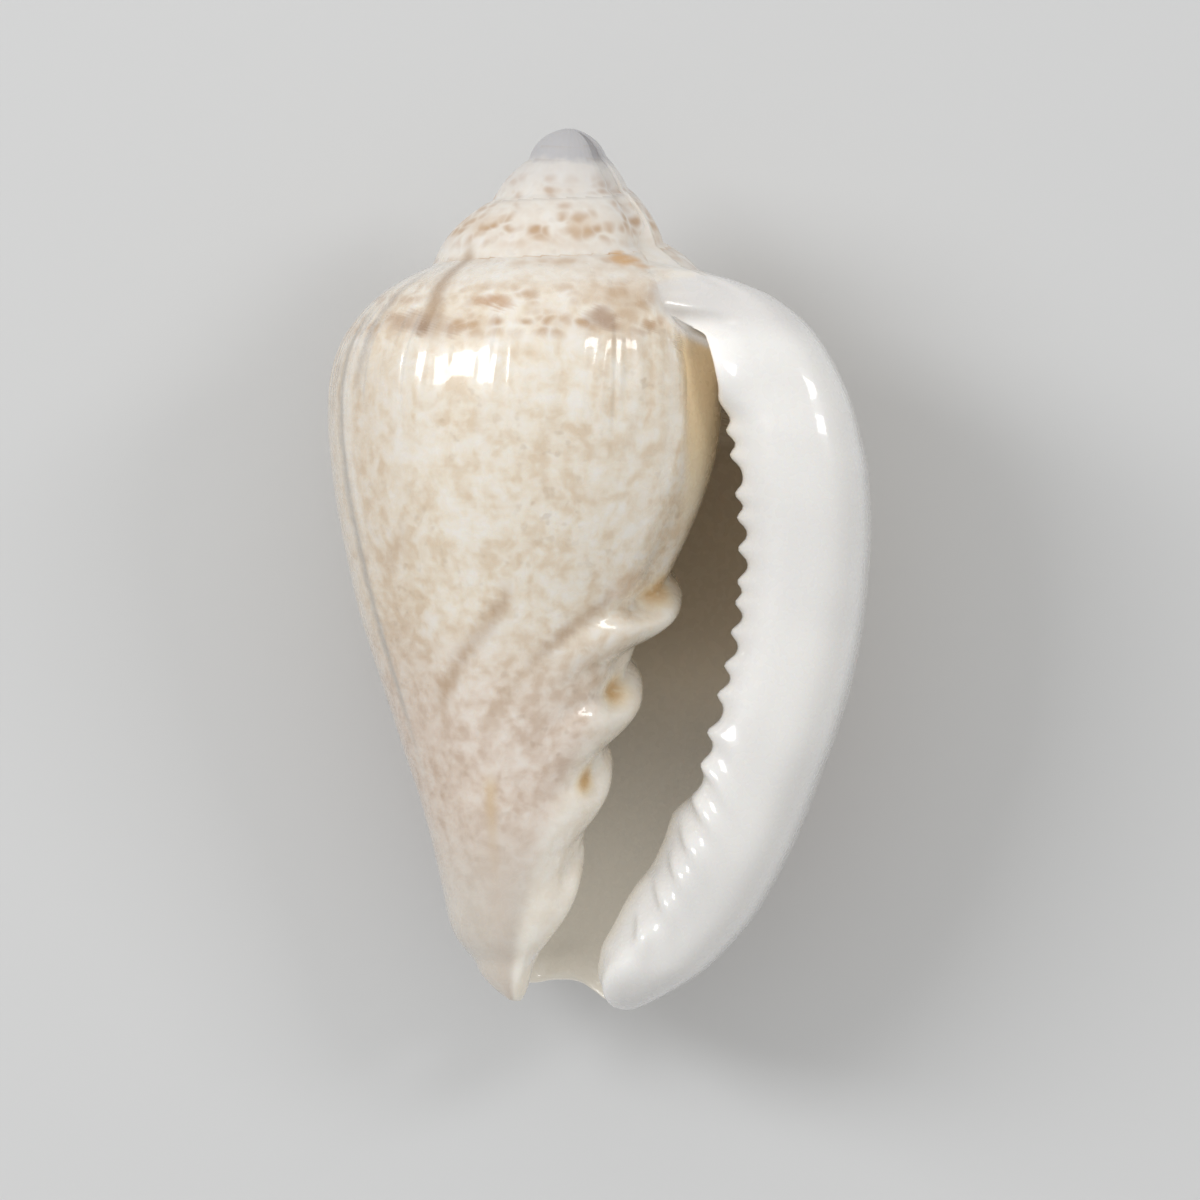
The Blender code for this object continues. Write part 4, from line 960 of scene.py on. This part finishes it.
def ripples(m):
    """Growth ripples: height is a noise that changes fast with age and slowly down the shell, and under
    the suture grooves and waves on it comb the highlights into upright strips."""
    ripple = m.noise(m.join(m.times(m.age, 0.14), m.times(m.down, 0.03)), 1.0, 0.0)
    groove = m.ramp(m.math("ABSOLUTE", m.math("SUBTRACT", ripple, 0.5)), 0.0, 0.17)
    wave = m.noise(m.join(m.times(m.age, 0.24), m.times(m.down, 0.34), 3.0), 1.0, 0.0)
    comb = m.times(m.ramp(m.down, 8.0, 9.5), m.ramp(m.down, 15.0, 11.5))
    height = m.math("ADD", ripple, m.times(groove, comb, 1.7))
    height = m.math("ADD", height, m.times(wave, comb, 4.2))
    clear = m.times(m.outside, m.math("SUBTRACT", 1.0, m.tan_wall), m.ramp(m.down, 22.0, 14.0, (0.3, 1.0)))
    height = m.math("ADD", m.times(height, clear), m.times(m.noise(m.mid, 260.0, 1.0), 0.8))
    bump = m.tree.nodes.new("ShaderNodeBump")
    bump.inputs["Strength"].default_value = 1.0
    bump.inputs["Distance"].default_value = BUMP_HEIGHT
    m.link(height, bump.inputs["Height"])
    m.link(bump.outputs[0], m.shader.inputs["Normal"])
    m.link(bump.outputs[0], m.shader.inputs["Coat Normal"])


def glaze(m):
    """A glossy clear coat, worn dull on the spire, over a skin that light enters a little way."""
    dull = m.ramp(m.down, 7.0, 4.5)
    rough = m.math("ADD", m.ramp(m.grain, 0.2, 0.8, (0.22, 0.32)), m.times(dull, 0.18))
    m.link(rough, m.shader.inputs["Roughness"])
    m.link(m.math("SUBTRACT", 0.9, m.times(dull, 0.75)), m.shader.inputs["Coat Weight"])
    for name, value in (("IOR", 1.5), ("Coat Roughness", 0.05), ("Coat IOR", 1.5),
                        ("Subsurface Weight", 0.12), ("Subsurface Radius", (1.0, 0.75, 0.5)),
                        ("Subsurface Scale", 0.0012)):
        m.shader.inputs[name].default_value = value


def shell_material():
    """The porcelain with its layers of colour from the ground up, its light, its ripples and its gloss."""
    m = Porcelain()
    # the inside of the mouth, darker and browner toward its top where it lies deepest: painted shade
    deep = m.mix(m.ramp(m.down, 15.0, 34.0), MOUTH_TOP, MOUTH_LOW)
    col = ground(m)
    for layer in (shaded, spotted, stroked, ended, mouth_side):
        col = layer(m, col)
    col = sutured(m, lip_and_mouth(m, col, deep))
    m.link(col, m.shader.inputs["Base Color"])
    painted_glow(m, col, deep)
    ripples(m)
    glaze(m)
    return m.mat


# ------------------------------------------------------------------ floor, light, camera
FLOOR_HALF = 3.0                        # m
FLOOR_GREY = (0.64, 0.65, 0.66)
LAMP_FAR, LAMP_AIM = 0.5, (0.0, 0.0, 0.01)     # how far the lamps stand from the point they face (m)
ROOM_FROM = (0.45, 0.85, 0.25)          # the room is brighter on this side
ROOM_LIGHT = (0.41, 0.75)               # strength of its light on the far side and on that side
ROOM_COLOUR = (1.0, 0.985, 0.96, 1.0)
LOOK_AT = (1.495, -21.38, 1.2)          # mm, in the shell's own frame before it is laid down
CAMERA_FAR = 1.0
VIEW_SPAN = 0.05435                     # width of the view at the target (m)
SENSOR = 36.0                           # mm


def make_floor():
    """A wide flat floor under the shell."""
    mesh = bpy.data.meshes.new("floor")
    corners = [(-FLOOR_HALF, -FLOOR_HALF, 0), (FLOOR_HALF, -FLOOR_HALF, 0),
               (FLOOR_HALF, FLOOR_HALF, 0), (-FLOOR_HALF, FLOOR_HALF, 0)]
    mesh.from_pydata(corners, [], [(0, 1, 2, 3)])
    floor = bpy.data.objects.new("floor", mesh)
    bpy.context.scene.collection.objects.link(floor)
    m = Nodes("pale_floor")
    m.put(m.shader.inputs["Base Color"], FLOOR_GREY)
    m.put(m.shader.inputs["Roughness"], 0.9)
    mesh.materials.append(m.mat)
    return floor


def make_room():
    """Soft room light, a little brighter from beyond the apex and the lip: it rises evenly with the share of
    the direction of sight that lies along ROOM_FROM."""
    world = bpy.data.worlds.new("studio")
    bpy.context.scene.world = world
    world.use_nodes = True
    tree = world.node_tree
    sky = tree.nodes.new("ShaderNodeTexCoord")
    across = tree.nodes.new("ShaderNodeVectorMath")
    across.operation = "DOT_PRODUCT"
    across.inputs[1].default_value = ROOM_FROM
    tree.links.new(sky.outputs["Generated"], across.inputs[0])
    level = tree.nodes.new("ShaderNodeMapRange")
    for key, value in zip(("From Min", "From Max", "To Min", "To Max"), (-1.0, 1.0, *ROOM_LIGHT)):
        level.inputs[key].default_value = value
    tree.links.new(across.outputs["Value"], level.inputs["Value"])
    tree.nodes["Background"].inputs["Color"].default_value = ROOM_COLOUR
    tree.links.new(level.outputs[0], tree.nodes["Background"].inputs["Strength"])


def facing(right, up, back, place):
    """The matrix of a lamp or camera at a place, from its three directions."""
    matrix = Matrix((right, up, back)).transposed().to_4x4()
    matrix.translation = place
    return matrix


def make_light(name, spin, aside, above, size, power):
    """A window-like lamp, upright beside the shell: turned aside from the line of sight and
    raised toward the apex by so many degrees."""
    data = bpy.data.lights.new(name, "AREA")
    data.shape = "RECTANGLE"
    data.size, data.size_y = size
    data.energy = power
    lamp = bpy.data.objects.new(name, data)
    a, e = math.radians(aside), math.radians(above)
    back = Vector(spin @ np.array([math.sin(a) * math.cos(e), math.sin(e), math.cos(a) * math.cos(e)]))
    right = Vector(spin @ np.array([0.0, 1.0, 0.0])).cross(back).normalized()
    lamp.matrix_world = facing(right, back.cross(right), back, Vector(LAMP_AIM) + back * LAMP_FAR)
    bpy.context.scene.collection.objects.link(lamp)


def make_camera(spin, shift):
    """Looks straight into the mouth, square to the coiling axis, from a metre away."""
    data = bpy.data.cameras.new("camera")
    cam = bpy.data.objects.new("camera", data)
    bpy.context.scene.collection.objects.link(cam)
    right, up, back = (Vector(spin @ np.array(v, float)) for v in ((1, 0, 0), (0, 1, 0), (0, 0, 1)))
    target = Vector(spin @ (np.array(LOOK_AT) * MM) - shift)
    cam.matrix_world = facing(right, up, back, target + back * CAMERA_FAR)
    data.sensor_width = SENSOR
    data.lens = SENSOR * CAMERA_FAR / VIEW_SPAN
    data.clip_start = 0.01
    data.dof.use_dof = False
    bpy.context.scene.camera = cam


shell, spin, shift = make_shell()
shell.data.materials.append(shell_material())
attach(shell, "root")
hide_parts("shell")

floor = make_floor()
make_room()
make_light("window_left", spin, -45.0, 18.0, (0.30, 0.14), 1.1)
make_light("window_right", spin, 44.0, 19.5, (0.18, 0.08), 0.36)
make_camera(spin, shift)
bpy.context.scene.view_settings.view_transform = "Standard"
